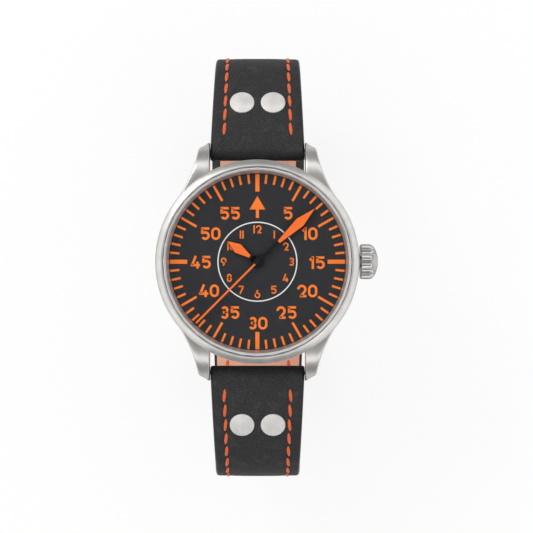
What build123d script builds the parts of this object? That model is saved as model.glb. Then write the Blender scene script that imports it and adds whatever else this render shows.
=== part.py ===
from build123d import *
import math
import os

# Pilot watch, closed on its buckle as it is when worn.
# Millimetres. The dial axis is Z, 12 o'clock lies towards +Y and the crown towards +X.
# Pieces are drawn up from the plane on which the closed strap rests. They are written with
# the origin at the centre of the case back, back_plane_z above that plane.
# Heights whose names end in _h are counted up from the outer face of the case back.

# Watch head
back_plane_z = 39.5
bezel_radius = 21.0
bezel_overhang = 0.55
bezel_ring_width = 1.3
bezel_width = 1.65
crystal_gasket_width = 0.25
seat_ledge = 0.65
rehaut_width = 1.05
movement_radius = 13.0
running_gap = 0.05
soft_gap = 0.3
overrun = 2.0

case_radius = bezel_radius - bezel_overhang
bezel_ring_inner_radius = bezel_radius - bezel_ring_width
seat_radius = bezel_radius - bezel_width
crystal_radius = seat_radius - crystal_gasket_width
bore_radius = seat_radius - seat_ledge
dial_opening_radius = seat_radius - rehaut_width

# Flat sides that a rod is drawn with, up to each radius, and those of the outer walls
side_steps = ((0.9, 8), (3.0, 12), (5.0, 16), (20.0, 36))
outer_sides = 72

# Case back and its window
back_flange_margin = 0.55
back_flange_thickness = 1.2
back_spigot_height = 1.2
back_window_margin = 0.1
back_glass_seat = 0.8
back_glass_thickness = 1.0
back_glass_lip = 0.3
back_gasket_margin = 0.2
back_gasket_depth = 0.4
back_notch_count = 6
back_notch_width = 3.0
back_notch_length = 1.6
back_notch_depth = 0.7

back_flange_radius = case_radius - back_flange_margin
back_spigot_radius = bore_radius - running_gap
back_gasket_radius = back_flange_radius - back_gasket_margin
back_window_radius = movement_radius - back_window_margin
back_glass_radius = back_window_radius + back_glass_seat

# Stack of the movement, from the case back up to the crystal
rotor_gap = 0.35
rotor_plate_thickness = 0.4
rotor_rim_height = 1.1
bridge_gap = 0.2
bridge_thickness = 0.7
train_space = 2.25
plate_thickness = 1.1
motion_space = 0.6
dial_thickness = 0.4
rehaut_height = 1.9
rehaut_ledge = 0.22
crystal_thickness = 1.75
crystal_bevel = 0.35
bezel_height = 2.6
bezel_rise = 1.3

glass_top_h = back_glass_lip + back_glass_thickness
rotor_h = glass_top_h + rotor_gap
bridge_h = rotor_h + rotor_rim_height + bridge_gap
bridge_top_h = bridge_h + bridge_thickness
plate_h = bridge_top_h + train_space
plate_top_h = plate_h + plate_thickness
dial_h = plate_top_h + motion_space
dial_top_h = dial_h + dial_thickness
crystal_h = dial_top_h + rehaut_height
bezel_top_h = crystal_h + bezel_rise
bezel_h = bezel_top_h - bezel_height

# Bezel slopes
bezel_ring_drop = 0.75
bezel_inner_drop = 0.35

# Lugs and spring bars
lug_gap = 20.0
lug_tip_y = 25.3
lug_tip_outer_y = 24.1
lug_tip_outer_x = 12.6
lug_side_y = 23.3
lug_side_x = 12.25
lug_waist_x = 14.1
lug_waist_y = 18.7
lug_root_x = 16.3
lug_root_y = 13.3
lug_top_start_y = 15.0
lug_tip_top_h = 3.9
lug_tip_bottom_h = 0.5
lug_sag_share = 0.28
lug_under_y = 19.6
bar_y = 23.3
bar_h = 2.5
bar_radius = 0.75
bar_tip_radius = 0.4
bar_tip_length = 0.8
bar_end_gap = 0.4

# Crown, tube and stem
stem_h = 5.3
crown_gap = 0.2
crown_radius = 3.68
crown_barrel_length = 2.3
crown_cone_length = 1.55
crown_cap_radius = 1.75
crown_edge_chamfer = 0.3
crown_flute_count = 18
crown_flute_depth = 0.3
crown_flute_shares = ((0.16, 0), (0.5, 1), (0.84, 0))
crown_bore_depth = 2.6
crown_socket_radius = 1.95
tube_radius = 1.5
tube_bore_radius = 0.9
tube_length = 3.0
stem_radius = 0.5
stem_start_x = 9.0
stem_tip_radius = 0.3
stem_tip_length = 1.6
crown_stem_depth = 3.0
gasket_length = 0.45


def z_at(height):
    return back_plane_z + height


def sides_of(radius):
    """Flat sides that a rod of this radius is drawn with."""
    return next((sides for limit, sides in side_steps if radius < limit), outer_sides)


def rod(radius, length):
    """Rod along Z from its lower end, with its corners on the radius."""
    return extrude(RegularPolygon(radius, sides_of(radius)), length)


def disc(radius, low, high, place=(0, 0)):
    """Cylinder between two heights above the case back."""
    return Pos(place[0], place[1], z_at(low)) * rod(radius, high - low)


def bore(radius, low, high, place=(0, 0)):
    """Hole between two heights, with its flat sides on the radius so that a round piece fits."""
    hole = extrude(RegularPolygon(radius, sides_of(radius), major_radius=False), high - low)
    return Pos(place[0], place[1], z_at(low)) * hole


def ring(outer, inner, low, high, place=(0, 0)):
    """Flat ring between two heights above the case back."""
    return disc(outer, low, high, place) - bore(inner, low, high, place)


def frustum(low_radius, high_radius, low, high):
    """Cone between two heights, for slopes and bevels round the dial axis."""
    sides = sides_of(max(low_radius, high_radius))
    ends = ((low_radius, low), (high_radius, high))
    return loft([Pos(0, 0, z_at(height)) * RegularPolygon(radius, sides) for radius, height in ends], ruled=True)


def x_rod(radius, start, end, y=0, z=0):
    """Round rod along X."""
    return Pos(start, y, z) * Rot(0, 90, 0) * rod(radius, end - start)


def save(shape, name):
    """Write a piece with the origin moved from the resting plane to the centre of the case back."""
    export_step(Pos(0, 0, -back_plane_z) * shape, "parts/" + name + ".step")


def bezel():
    """Ring with a brushed slope outside and a narrow one down to the crystal."""
    slope_h = bezel_top_h - bezel_ring_drop
    body = disc(bezel_radius, bezel_h, slope_h) + frustum(bezel_radius, bezel_ring_inner_radius, slope_h, bezel_top_h)
    body = body - bore(seat_radius, bezel_h, bezel_top_h)
    return body - frustum(seat_radius, bezel_ring_inner_radius, bezel_top_h - bezel_inner_drop, bezel_top_h)


def crystal():
    """Flat sapphire with a bevelled rim."""
    top = crystal_h + crystal_thickness
    bevel_h = top - crystal_bevel
    return disc(crystal_radius, crystal_h, bevel_h) + frustum(
        crystal_radius, crystal_radius - crystal_bevel, bevel_h, top)


def crystal_gasket():
    top = bezel_top_h - bezel_inner_drop
    return ring(seat_radius, crystal_radius, crystal_h, top)


def rehaut():
    """Sloping ring between the dial and the crystal."""
    slope = frustum(dial_opening_radius, crystal_radius - rehaut_ledge, dial_top_h, crystal_h)
    return disc(seat_radius, dial_top_h, crystal_h) - slope


def lug_plan():
    """One lug from above, at the crown side of 12 o'clock."""
    half_gap = lug_gap / 2
    tip_flat = Line((half_gap, 0), (half_gap, lug_tip_y))
    tip_face = Line((half_gap, lug_tip_y), (lug_tip_outer_x, lug_tip_outer_y))
    tip_corner = Line((lug_tip_outer_x, lug_tip_outer_y), (lug_side_x, lug_side_y))
    side = ThreePointArc((lug_side_x, lug_side_y), (lug_waist_x, lug_waist_y), (lug_root_x, lug_root_y))
    base = Polyline((lug_root_x, lug_root_y), (lug_root_x, 0), (half_gap, 0))
    return make_face(tip_flat + tip_face + tip_corner + side + base)


def lug_side_profile():
    """Lug seen from the crown side: a curved back that drops to a thin tip."""
    top = z_at(bezel_h)
    tip_top = z_at(lug_tip_top_h)
    tip_low = z_at(lug_tip_bottom_h)
    under = z_at(back_flange_thickness)
    start = (lug_top_start_y, top)
    tip = (lug_tip_y, tip_top)
    drop = top - tip_top
    middle = ((lug_top_start_y + lug_tip_y) / 2, top - drop * lug_sag_share)
    back_line = Line((0, top), start)
    curve = ThreePointArc(start, middle, tip)
    rest = Polyline(tip, (lug_tip_y, tip_low), (lug_under_y, tip_low), (lug_root_y, under), (0, under), (0, top))
    return make_face(back_line + curve + rest)


def lug():
    plan = extrude(Pos(0, 0, back_plane_z) * lug_plan(), bezel_top_h)
    slab = extrude(Plane.YZ * lug_side_profile(), bezel_radius)
    return plan & slab


def middle_case():
    """Case band with four lugs, bored for the movement, the bars and the crown tube."""
    body = disc(case_radius, back_flange_thickness, bezel_h)
    one = lug()
    pair = one + mirror(one, about=Plane.YZ)
    body = body + pair + mirror(pair, about=Plane.XZ)
    body = body - bore(back_flange_radius + running_gap, 0, back_flange_thickness)
    body = body - bore(bore_radius, 0, bezel_top_h) - bore(seat_radius, dial_top_h, bezel_top_h)
    hole_end = lug_gap / 2 + bar_tip_length + running_gap
    for side in (bar_y, -bar_y):
        body = body - x_rod(bar_tip_radius + running_gap, -hole_end, hole_end, side, z_at(bar_h))
    return body - x_rod(tube_radius, bore_radius - overrun, bezel_radius + overrun, 0, z_at(stem_h))


def case_back():
    """Screwed back: notched flange, spigot with the gasket's step, and a lip that carries the window."""
    spigot_top = back_flange_thickness + back_spigot_height
    step = back_flange_thickness - back_gasket_depth
    body = disc(back_flange_radius, 0, back_flange_thickness) + disc(back_spigot_radius, 0, spigot_top)
    seat = disc(back_gasket_radius, step, back_flange_thickness) - disc(back_spigot_radius, step, back_flange_thickness)
    body = body - seat
    body = body - disc(back_window_radius, 0, spigot_top) - disc(back_glass_radius, back_glass_lip, spigot_top)
    notch = Box(back_notch_length, back_notch_width, back_notch_depth, align=(Align.MIN, Align.CENTER, Align.MIN))
    notch = Pos(back_flange_radius - back_notch_length, 0, back_plane_z) * notch
    for index in range(back_notch_count):
        body = body - Rot(0, 0, index * 360 / back_notch_count) * notch
    return body


def back_glass():
    """Stepped window, flush with the case back and held from inside by its wider half."""
    return disc(back_glass_radius, back_glass_lip, glass_top_h) + disc(back_window_radius, 0, back_glass_lip)


def back_gasket():
    low = back_flange_thickness - back_gasket_depth
    return ring(back_gasket_radius, back_spigot_radius, low, back_flange_thickness)


def crown_outline(scale=1):
    """Grooved section of the crown, shrunk by a scale for the small end of its cone."""
    points = []
    step = 360 / crown_flute_count
    for index in range(crown_flute_count):
        for share, depth in crown_flute_shares:
            radius = (crown_radius - crown_flute_depth * depth) * scale
            points.append(polar((0, 0), radius, (index + share) * step))
    return make_face(Polyline(*points, close=True))


def fluted(low_scale, high_scale, low, high):
    """Fluted length of the crown between two outlines."""
    return loft([Pos(0, 0, low) * crown_outline(low_scale), Pos(0, 0, high) * crown_outline(high_scale)], ruled=True)


def crown():
    """Fluted barrel with a coned end, hollow for the tube and its gasket."""
    start = bezel_radius + crown_gap
    frame = Plane(origin=(start, 0, z_at(stem_h)), x_dir=(0, 1, 0), z_dir=(1, 0, 0))
    foot_scale = 1 - crown_edge_chamfer / crown_radius
    end_scale = crown_cap_radius / crown_radius
    body = fluted(foot_scale, 1, 0, crown_edge_chamfer)
    body = body + fluted(1, 1, crown_edge_chamfer, crown_barrel_length)
    body = body + fluted(1, end_scale, crown_barrel_length, crown_barrel_length + crown_cone_length)
    return frame * (body - rod(crown_socket_radius, crown_bore_depth) - rod(stem_radius, crown_stem_depth))


def crown_tube():
    """Pressed tube in the case wall that the crown slides on."""
    start = bore_radius
    end = start + tube_length
    return x_rod(tube_radius, start, end, 0, z_at(stem_h)) - x_rod(tube_bore_radius, start, end, 0, z_at(stem_h))


def crown_gasket():
    """Seal inside the crown, round the tube."""
    start = bezel_radius + crown_gap
    outer = x_rod(crown_socket_radius - 2 * running_gap, start, start + gasket_length, 0, z_at(stem_h))
    return outer - x_rod(tube_radius + running_gap, start, start + gasket_length, 0, z_at(stem_h))


def winding_stem():
    """Rod from the movement to the crown, with a square for the clutch."""
    end = bezel_radius + crown_gap + crown_stem_depth
    body = x_rod(stem_radius, stem_start_x, end, 0, z_at(stem_h))
    return body + x_rod(stem_tip_radius, stem_start_x - stem_tip_length, stem_start_x, 0, z_at(stem_h))


# Dial and hands
dial_edge_gap = 0.1
hub_hole_radius = 1.0
track_margin = 0.2
bar_length = 3.6
hour_count = 12
quarter_count = 4
tick_width = 0.48
quarter_width = 0.85
mark_thickness = 0.06
triangle_margin = 4.5
triangle_height = 2.8
triangle_half_width = 1.62
triangle_stem_length = 1.76
triangle_stem_width = 0.65
hand_thickness = 0.15
lume_thickness = 0.08
hand_pitch = 0.36
first_hand_gap = 0.36
hour_hand_length = 7.3
hour_hand_hub = 1.41
hour_hand_half_width = 1.05
hour_hand_shoulder = 4.6
hour_hand_neck = 1.9
hour_hand_neck_half_width = 0.42
minute_hand_margin = 1.6
minute_hand_hub = 0.8
minute_hand_half_width = 1.13
minute_hand_shoulder = 12.0
minute_hand_neck = 6.0
minute_hand_neck_half_width = 0.45
minute_hand_stem_half_width = 0.4
hand_outline = 0.13
point_stretch_share = 2.6
seconds_hand_margin = 0.2
seconds_hand_width = 0.38
seconds_hub_radius = 0.62
seconds_tail = 3.6
hour_hand_angle = 55.6
minute_hand_angle = -47.2
seconds_hand_angle = 135.0

dial_radius = bore_radius - dial_edge_gap
track_outer_radius = dial_opening_radius - track_margin
bar_inner_radius = track_outer_radius - bar_length
triangle_apex = track_outer_radius - triangle_margin
triangle_base = triangle_apex - triangle_height
triangle_stem_end = triangle_base - triangle_stem_length
minute_hand_length = track_outer_radius - minute_hand_margin
seconds_hand_length = track_outer_radius - seconds_hand_margin
hour_hand_h = dial_top_h + first_hand_gap
minute_hand_h = hour_hand_h + hand_pitch
seconds_hand_h = minute_hand_h + hand_pitch


def dial():
    return ring(dial_radius, hub_hole_radius, dial_h, dial_top_h)


def dial_marks():
    """Raised five-minute bars and the arrow at 12, as separate blocks."""
    marks = []
    for index in range(hour_count):
        width = quarter_width if index % (hour_count // quarter_count) == 0 else tick_width
        block = Box(width, bar_length, mark_thickness, align=(Align.CENTER, Align.MIN, Align.MIN))
        block = Pos(0, bar_inner_radius, z_at(dial_top_h)) * block
        marks.append(Rot(0, 0, -index * 360 / hour_count) * block)
    outline = Polyline(
        (0, triangle_apex),
        (triangle_half_width, triangle_base),
        (triangle_stem_width / 2, triangle_base),
        (triangle_stem_width / 2, triangle_stem_end),
        (-triangle_stem_width / 2, triangle_stem_end),
        (-triangle_stem_width / 2, triangle_base),
        (-triangle_half_width, triangle_base),
        close=True,
    )
    marks.append(extrude(Pos(0, 0, z_at(dial_top_h)) * make_face(outline), mark_thickness))
    return Compound(children=marks)


def plate_from(points, low, thickness):
    """Flat plate from an outline on the dial plane."""
    return extrude(Pos(0, 0, z_at(low)) * make_face(Polyline(*points, close=True)), thickness)


def hour_hand_points(margin=0):
    """Rhomb outline pointing to 12; the margin is the dark edge left round the lume."""
    wide = hour_hand_half_width - margin
    neck = hour_hand_neck_half_width - margin
    tip = hour_hand_length - margin * point_stretch_share
    start = hour_hand_neck if margin else 0
    return [(neck, start), (wide, hour_hand_shoulder), (0, tip), (-wide, hour_hand_shoulder), (-neck, start)]


def hour_hand():
    blade = plate_from(hour_hand_points(), hour_hand_h, hand_thickness)
    hub = disc(hour_hand_hub, hour_hand_h, hour_hand_h + hand_thickness)
    pipe_bore = disc(hour_pipe_radius, hour_hand_h - overrun, hour_hand_h + overrun)
    return Rot(0, 0, hour_hand_angle) * (blade + hub - pipe_bore)


def hour_hand_lume():
    lume = plate_from(hour_hand_points(hand_outline), hour_hand_h + hand_thickness, lume_thickness)
    return Rot(0, 0, hour_hand_angle) * lume


def minute_hand_points(margin=0):
    """Long rhomb outline on a thin stem, pointing to 12."""
    wide = minute_hand_half_width - margin
    neck = minute_hand_neck_half_width - margin
    tip = minute_hand_length - margin * point_stretch_share
    start = minute_hand_neck + margin
    return [(neck, start), (wide, minute_hand_shoulder), (0, tip), (-wide, minute_hand_shoulder), (-neck, start)]


def minute_hand():
    blade = plate_from(minute_hand_points(), minute_hand_h, hand_thickness)
    stem = Box(2 * minute_hand_stem_half_width, minute_hand_neck + hand_outline, hand_thickness,
               align=(Align.CENTER, Align.MIN, Align.MIN))
    hub = disc(minute_hand_hub, minute_hand_h, minute_hand_h + hand_thickness)
    pipe_bore = disc(cannon_radius, minute_hand_h - overrun, minute_hand_h + overrun)
    body = blade + Pos(0, 0, z_at(minute_hand_h)) * stem + hub - pipe_bore
    return Rot(0, 0, minute_hand_angle) * body


def minute_hand_lume():
    lume = plate_from(minute_hand_points(hand_outline), minute_hand_h + hand_thickness, lume_thickness)
    return Rot(0, 0, minute_hand_angle) * lume


def seconds_hand():
    """Thin needle with a short tail and a domed hub on the fourth wheel's arbor."""
    needle = Box(seconds_hand_width, seconds_hand_length + seconds_tail, hand_thickness,
                 align=(Align.CENTER, Align.MIN, Align.MIN))
    body = Pos(0, -seconds_tail, z_at(seconds_hand_h)) * needle
    body = body + disc(seconds_hub_radius, seconds_hand_h, seconds_hand_h + hand_thickness + lume_thickness)
    body = body - disc(seconds_arbor_radius, seconds_hand_h - overrun, seconds_hand_h + hand_thickness)
    return Rot(0, 0, seconds_hand_angle) * body


# Movement
axle_radius = 0.28
pivot_radius = 0.12
pivot_depth = 0.3
pivot_clearance = 0.025
jewel_radius = 0.55
jewel_height = 0.35
wheel_thickness = 0.18
wheel_level_gap = 0.12
first_level_gap = 0.08
leaf_overhang = 0.06
hub_radius = 0.75
rim_share = 0.84
arm_count = 4
arm_width = 0.36
addendum_share = 0.8
dedendum_share = 1.05
tooth_corner_shares = ((0, True), (1 / 2, False))
leaf_corner_shares = ((-0.2, False), (-0.11, True), (0.11, True), (0.2, False))

barrel_teeth = 72
great_leaves = 12
great_teeth = 64
third_leaves = 8
third_teeth = 60
fourth_leaves = 8
fourth_teeth = 72
escape_leaves = 6
escape_teeth = 15
motion_leaves = 12
minute_teeth = 36
minute_leaves = 10
hour_teeth = 40
ratchet_teeth = 36
crown_teeth = 20
barrel_module = 0.125
great_module = 0.14
third_module = 0.13
fourth_module = 0.11
motion_module = 0.16
ratchet_module = 0.2

crown_wheel_x = 8.4
barrel_angle = -115
great_angle = 190
balance_distance = 8.6
balance_angle = 105
escape_angle = 130
pallet_reach = 2.45
fork_reach = 2.75

barrel_height = 1.2
barrel_gap = 0.1
barrel_wall = 0.2
barrel_arbor_radius = 0.6
ratchet_thickness = 0.5
ratchet_gap = 0.05
crown_hub_radius = 2.2
pinion_radius = 1.15
pinion_start_x = 9.85
pinion_length = 1.35
rib_width = 0.22
rib_depth = 0.25
pinion_rib_count = 10
clutch_radius = 1.0
clutch_start_x = 8.6
clutch_length = 1.1
groove_width = 0.28
keyless_pocket_radius = 1.3
keyless_pocket_x = 7.7
center_tube_bore = 0.2
center_tube_radius = 0.35
seconds_arbor_radius = 0.15
cannon_bore = 0.4
cannon_radius = 0.6
hour_pipe_bore = 0.7
hour_pipe_radius = 0.9
motion_gap = 0.05
motion_thickness = 0.2
escape_radius = 2.1
escape_root_share = 0.78
escape_tooth_shares = ((0, 1), (0.14, 0.95), (0.3, 0.78), (0.85, 0.78))
escape_drop = 1.1
balance_radius = 3.9
balance_rim_width = 0.45
balance_height = 0.45
balance_arm_count = 3
balance_well_gap = 0.3
roller_radius = 0.55
roller_thickness = 0.15
roller_drop = 0.1
impulse_pin_radius = 0.1
impulse_pin_length = 0.25
rotor_margin = 0.4
rotor_rim_width = 0.8
rotor_hub_radius = 2.4
rotor_edge_share = 0.2
rotor_window_margin = 0.7
rotor_arm_count = 4
rotor_arm_width = 1.4
rotor_post_radius = 1.2
rotor_post_head_radius = 1.5
rotor_post_head_height = 0.15
pillar_radius = 0.9
wheel_screw_radius = 0.32
post_radius = 0.3
bridge_split = 1.55
bridge_margin = 0.15
split_gap = 0.16
cock_width = 2.0
cock_hub_radius = 1.35
cock_foot_angle = 128
pillar_circle = 11.75
barrel_pillar_angles = (-72, -105, -14, 20)
train_pillar_angles = (-145, 165, 60)

bridge_radius = movement_radius - bridge_margin
rotor_radius = movement_radius - rotor_margin
great_level = bridge_top_h + first_level_gap
fourth_level = great_level + wheel_thickness + wheel_level_gap
third_level = fourth_level + wheel_thickness + wheel_level_gap
barrel_level = third_level + wheel_thickness + barrel_gap
escape_level = plate_h - escape_drop
balance_level = great_level
motion_level = plate_top_h + motion_gap
hour_level = motion_level + motion_thickness + motion_gap


def polar(place, distance, angle):
    turn = math.radians(angle)
    return (place[0] + distance * math.cos(turn), place[1] + distance * math.sin(turn))


def meeting(first, first_distance, second, second_distance):
    """Point at given distances from two centres, on the right of the line between them."""
    gap = math.dist(first, second)
    along = (first_distance ** 2 - second_distance ** 2 + gap ** 2) / (2 * gap)
    aside = math.sqrt(first_distance ** 2 - along ** 2)
    ux = (second[0] - first[0]) / gap
    uy = (second[1] - first[1]) / gap
    return (first[0] + along * ux + aside * uy, first[1] + along * uy - aside * ux)


def centre_distance(first_teeth, second_teeth, module):
    return (first_teeth + second_teeth) * module / 2


dial_centre = (0, 0)
crown_wheel_place = (crown_wheel_x, 0)
barrel_place = polar(crown_wheel_place, centre_distance(ratchet_teeth, crown_teeth, ratchet_module), barrel_angle)
great_place = polar(barrel_place, centre_distance(barrel_teeth, great_leaves, barrel_module), great_angle)
third_place = meeting(
    dial_centre,
    centre_distance(third_teeth, fourth_leaves, third_module),
    great_place,
    centre_distance(great_teeth, third_leaves, great_module),
)
escape_place = polar(dial_centre, centre_distance(fourth_teeth, escape_leaves, fourth_module), escape_angle)
balance_place = polar(dial_centre, balance_distance, balance_angle)
pallet_place = meeting(balance_place, fork_reach, escape_place, pallet_reach)
minute_reach = centre_distance(minute_teeth, motion_leaves, motion_module)
minute_place = meeting(great_place, minute_reach, dial_centre, minute_reach)
hour_module = 2 * minute_reach / (minute_leaves + hour_teeth)
cock_place = polar(dial_centre, pillar_circle, cock_foot_angle)
barrel_pillars = [polar(dial_centre, pillar_circle, angle) for angle in barrel_pillar_angles]
train_pillars = [polar(dial_centre, pillar_circle, angle) for angle in train_pillar_angles]


def direction(start, end):
    return math.atan2(end[1] - start[1], end[0] - start[0])


def meshed_phase(teeth, phase, place, other_teeth, other_place):
    """Turn of the second gear that puts its gap on the first one's tooth."""
    line = direction(place, other_place)
    lead = (phase - line) * teeth
    return line + math.pi - (lead + math.pi) / other_teeth


def toothed(teeth, module, low, high, place, phase=0, leaf=False):
    """Toothed disc: pointed teeth on wheels, flat-topped leaves on pinions."""
    pitch = teeth * module / 2
    tip = pitch + addendum_share * module
    root = pitch - dedendum_share * module
    step = 2 * math.pi / teeth
    corners = leaf_corner_shares if leaf else tooth_corner_shares
    points = []
    for index in range(teeth):
        for share, at_tip in corners:
            angle = phase + (index + share) * step
            radius = tip if at_tip else root
            points.append((place[0] + radius * math.cos(angle), place[1] + radius * math.sin(angle)))
    return plate_from(points, low, high - low)


def windows(rim_inner, hub, low, high, place):
    """What is cut from a wheel between its rim, its hub and its arms."""
    cut = ring(rim_inner, hub, low - overrun, high + overrun, place)
    for index in range(arm_count // 2):
        bar = Box(2 * rim_inner + overrun, arm_width, high - low + 4 * overrun)
        cut = cut - Pos(place[0], place[1], z_at(low)) * Rot(0, 0, index * 360 / arm_count) * bar
    return cut


def wheel(teeth, module, low, place, phase):
    """Spoked train wheel."""
    body = toothed(teeth, module, low, low + wheel_thickness, place, phase)
    return body - windows(teeth * module / 2 * rim_share, hub_radius, low, low + wheel_thickness, place)


def arbor(place, low=None, high=None):
    """Axle with a fine pivot at each end, between the bridge and the main plate."""
    bottom = bridge_top_h + leaf_overhang / 2
    top = plate_h - leaf_overhang / 2
    body = disc(axle_radius, bottom, top, place)
    low_end = bottom - pivot_depth - leaf_overhang if low is None else low
    high_end = top + pivot_depth if high is None else high
    return body + disc(pivot_radius, low_end, bottom, place) + disc(pivot_radius, top, high_end, place)


def leaves(count, module, level, place, phase):
    """Pinion cut a little longer than the wheel that drives it."""
    low = level - leaf_overhang
    return toothed(count, module, low, level + wheel_thickness + leaf_overhang, place, phase, leaf=True)


great_pinion_phase = meshed_phase(barrel_teeth, 0, barrel_place, great_leaves, great_place)
third_pinion_phase = meshed_phase(great_teeth, 0, great_place, third_leaves, third_place)
fourth_pinion_phase = meshed_phase(third_teeth, 0, third_place, fourth_leaves, dial_centre)
escape_pinion_phase = meshed_phase(fourth_teeth, 0, dial_centre, escape_leaves, escape_place)
motion_phase = meshed_phase(motion_leaves, 0, great_place, minute_teeth, minute_place)
cannon_phase = meshed_phase(minute_teeth, motion_phase, minute_place, motion_leaves, dial_centre)
hour_phase = meshed_phase(minute_leaves, 0, minute_place, hour_teeth, dial_centre)
crown_phase = meshed_phase(ratchet_teeth, 0, barrel_place, crown_teeth, crown_wheel_place)


def barrel():
    """Closed mainspring barrel with a toothed edge; nothing opens it, so it is solid inside."""
    pitch = barrel_teeth * barrel_module / 2
    drum = pitch - 2 * barrel_module
    high = barrel_level + barrel_height
    body = disc(drum, barrel_level, high, barrel_place)
    tooth_low = barrel_level + barrel_wall
    body = body + toothed(barrel_teeth, barrel_module, tooth_low, tooth_low + 2 * barrel_wall, barrel_place)
    return body - disc(barrel_arbor_radius + 2 * running_gap, barrel_level - overrun, high + overrun, barrel_place)


def barrel_arbor():
    """Arbor through the barrel; its square carries the ratchet wheel."""
    low = bridge_h - ratchet_gap - ratchet_thickness
    return disc(barrel_arbor_radius, low, plate_h, barrel_place) + disc(
        pivot_radius + axle_radius, plate_h, plate_h + pivot_depth, barrel_place)


def ratchet_wheel():
    low = bridge_h - ratchet_gap - ratchet_thickness
    body = toothed(ratchet_teeth, ratchet_module, low, low + ratchet_thickness, barrel_place)
    return body - disc(barrel_arbor_radius, low, low + ratchet_thickness, barrel_place)


def crown_wheel():
    """Upper toothed disc and a lower hub that faces the winding pinion."""
    low = bridge_h - ratchet_gap - ratchet_thickness
    top = stem_h - pinion_radius - wheel_level_gap
    body = toothed(crown_teeth, ratchet_module, low, low + ratchet_thickness, crown_wheel_place, crown_phase)
    hub = disc(crown_hub_radius - 2 * ratchet_module, low, top, crown_wheel_place)
    return body + hub - disc(wheel_screw_radius + running_gap, low - overrun, top + overrun, crown_wheel_place)


def great_wheel():
    body = wheel(great_teeth, great_module, great_level, great_place, 0)
    tooth_level = barrel_level + 3 * barrel_wall / 2
    body = body + leaves(great_leaves, barrel_module, tooth_level, great_place, great_pinion_phase)
    dial_end = motion_level + motion_thickness
    body = body + arbor(great_place, high=dial_end)
    return body + toothed(motion_leaves, motion_module, motion_level, dial_end, great_place, 0, leaf=True)


def third_wheel():
    body = wheel(third_teeth, third_module, third_level, third_place, 0)
    return body + leaves(third_leaves, great_module, great_level, third_place, third_pinion_phase) + arbor(third_place)


def fourth_wheel():
    """Centre seconds wheel; its long pivot carries the seconds hand."""
    body = wheel(fourth_teeth, fourth_module, fourth_level, dial_centre, 0)
    body = body + leaves(fourth_leaves, third_module, third_level, dial_centre, fourth_pinion_phase)
    long_pivot = disc(seconds_arbor_radius, plate_h - pivot_depth, seconds_hand_h + hand_thickness)
    return body + arbor(dial_centre) + long_pivot


def escape_wheel():
    """Fifteen raked teeth on a pinion."""
    points = []
    step = 2 * math.pi / escape_teeth
    for index in range(escape_teeth):
        for share, radius_share in escape_tooth_shares:
            angle = (index + share) * step
            radius = escape_radius * radius_share
            points.append((escape_place[0] + radius * math.cos(angle), escape_place[1] + radius * math.sin(angle)))
    body = plate_from(points, escape_level, wheel_thickness)
    body = body - windows(escape_radius * escape_root_share - arm_width, hub_radius, escape_level,
                          escape_level + wheel_thickness, escape_place)
    return body + leaves(escape_leaves, fourth_module, fourth_level, escape_place, escape_pinion_phase) + arbor(
        escape_place)


# Pallets, balance and hairspring
fork_width = 0.34
fork_arm_angle = 32
stone_length = 0.5
stone_width = 0.22
stone_gap = 0.12
notch_width = 0.3
notch_depth = 0.32
fork_head_width = 0.8
pallet_bridge_height = 0.3
pallet_bridge_half_span = 2.35
pallet_bridge_foot_radius = 0.42
pallet_bridge_skew = 90
spring_inner_radius = 0.62
spring_outer_radius = 2.7
spring_turns = 7
spring_sides = 12
spring_strip = 0.1
spring_height = 0.16
spring_lift = 0.04
stud_radius = 0.25


def link(first, second, width, low, thickness):
    """Straight bar between two places, with round ends."""
    length = math.dist(first, second)
    bar = Box(length, width, thickness, align=(Align.MIN, Align.CENTER, Align.MIN))
    bar = Pos(first[0], first[1], z_at(low)) * Rot(0, 0, math.degrees(direction(first, second))) * bar
    first_end = disc(width / 2, low, low + thickness, first)
    return bar + first_end + disc(width / 2, low, low + thickness, second)


def pallet_fork():
    """Lever with two stones at the escape wheel and a notch at the balance."""
    low = escape_level
    back = math.degrees(direction(escape_place, pallet_place))
    ahead = math.degrees(direction(pallet_place, balance_place))
    notch = polar(pallet_place, fork_reach - roller_radius, ahead)
    body = link(pallet_place, notch, fork_width, low, wheel_thickness)
    head = Box(2 * notch_depth, fork_head_width, wheel_thickness, align=(Align.CENTER, Align.CENTER, Align.MIN))
    slot = Box(4 * notch_depth, notch_width, wheel_thickness, align=(Align.MIN, Align.CENTER, Align.MIN))
    turn = Rot(0, 0, ahead)
    body = body + Pos(notch[0], notch[1], z_at(low)) * turn * head
    body = body - Pos(notch[0], notch[1], z_at(low)) * turn * slot
    for side in (-fork_arm_angle, fork_arm_angle):
        inner = escape_radius + stone_gap
        shoulder = polar(escape_place, inner + stone_length, back + side)
        body = body + link(pallet_place, shoulder, fork_width, low, wheel_thickness)
        stone = Box(stone_length, stone_width, wheel_thickness, align=(Align.MIN, Align.CENTER, Align.MIN))
        foot = polar(escape_place, inner, back + side)
        body = body + Pos(foot[0], foot[1], z_at(low)) * Rot(0, 0, back + side) * stone
    low_pivot = escape_level - wheel_level_gap - pallet_bridge_height / 2
    return body + disc(pivot_radius, low_pivot, plate_h + pivot_depth / 2, pallet_place)


def pallet_bridge():
    """Small bridge over the lever's pivot, on two feet."""
    low = escape_level - wheel_level_gap - pallet_bridge_height
    across = math.degrees(direction(escape_place, balance_place)) + pallet_bridge_skew
    ends = [polar(pallet_place, pallet_bridge_half_span, across + turn) for turn in (0, 180)]
    body = link(ends[0], ends[1], 2 * pallet_bridge_foot_radius, low, pallet_bridge_height)
    for end in ends:
        body = body + disc(pallet_bridge_foot_radius, low, plate_h, end)
    return body - disc(pivot_radius + pivot_clearance, low, low + pallet_bridge_height, pallet_place)


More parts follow.
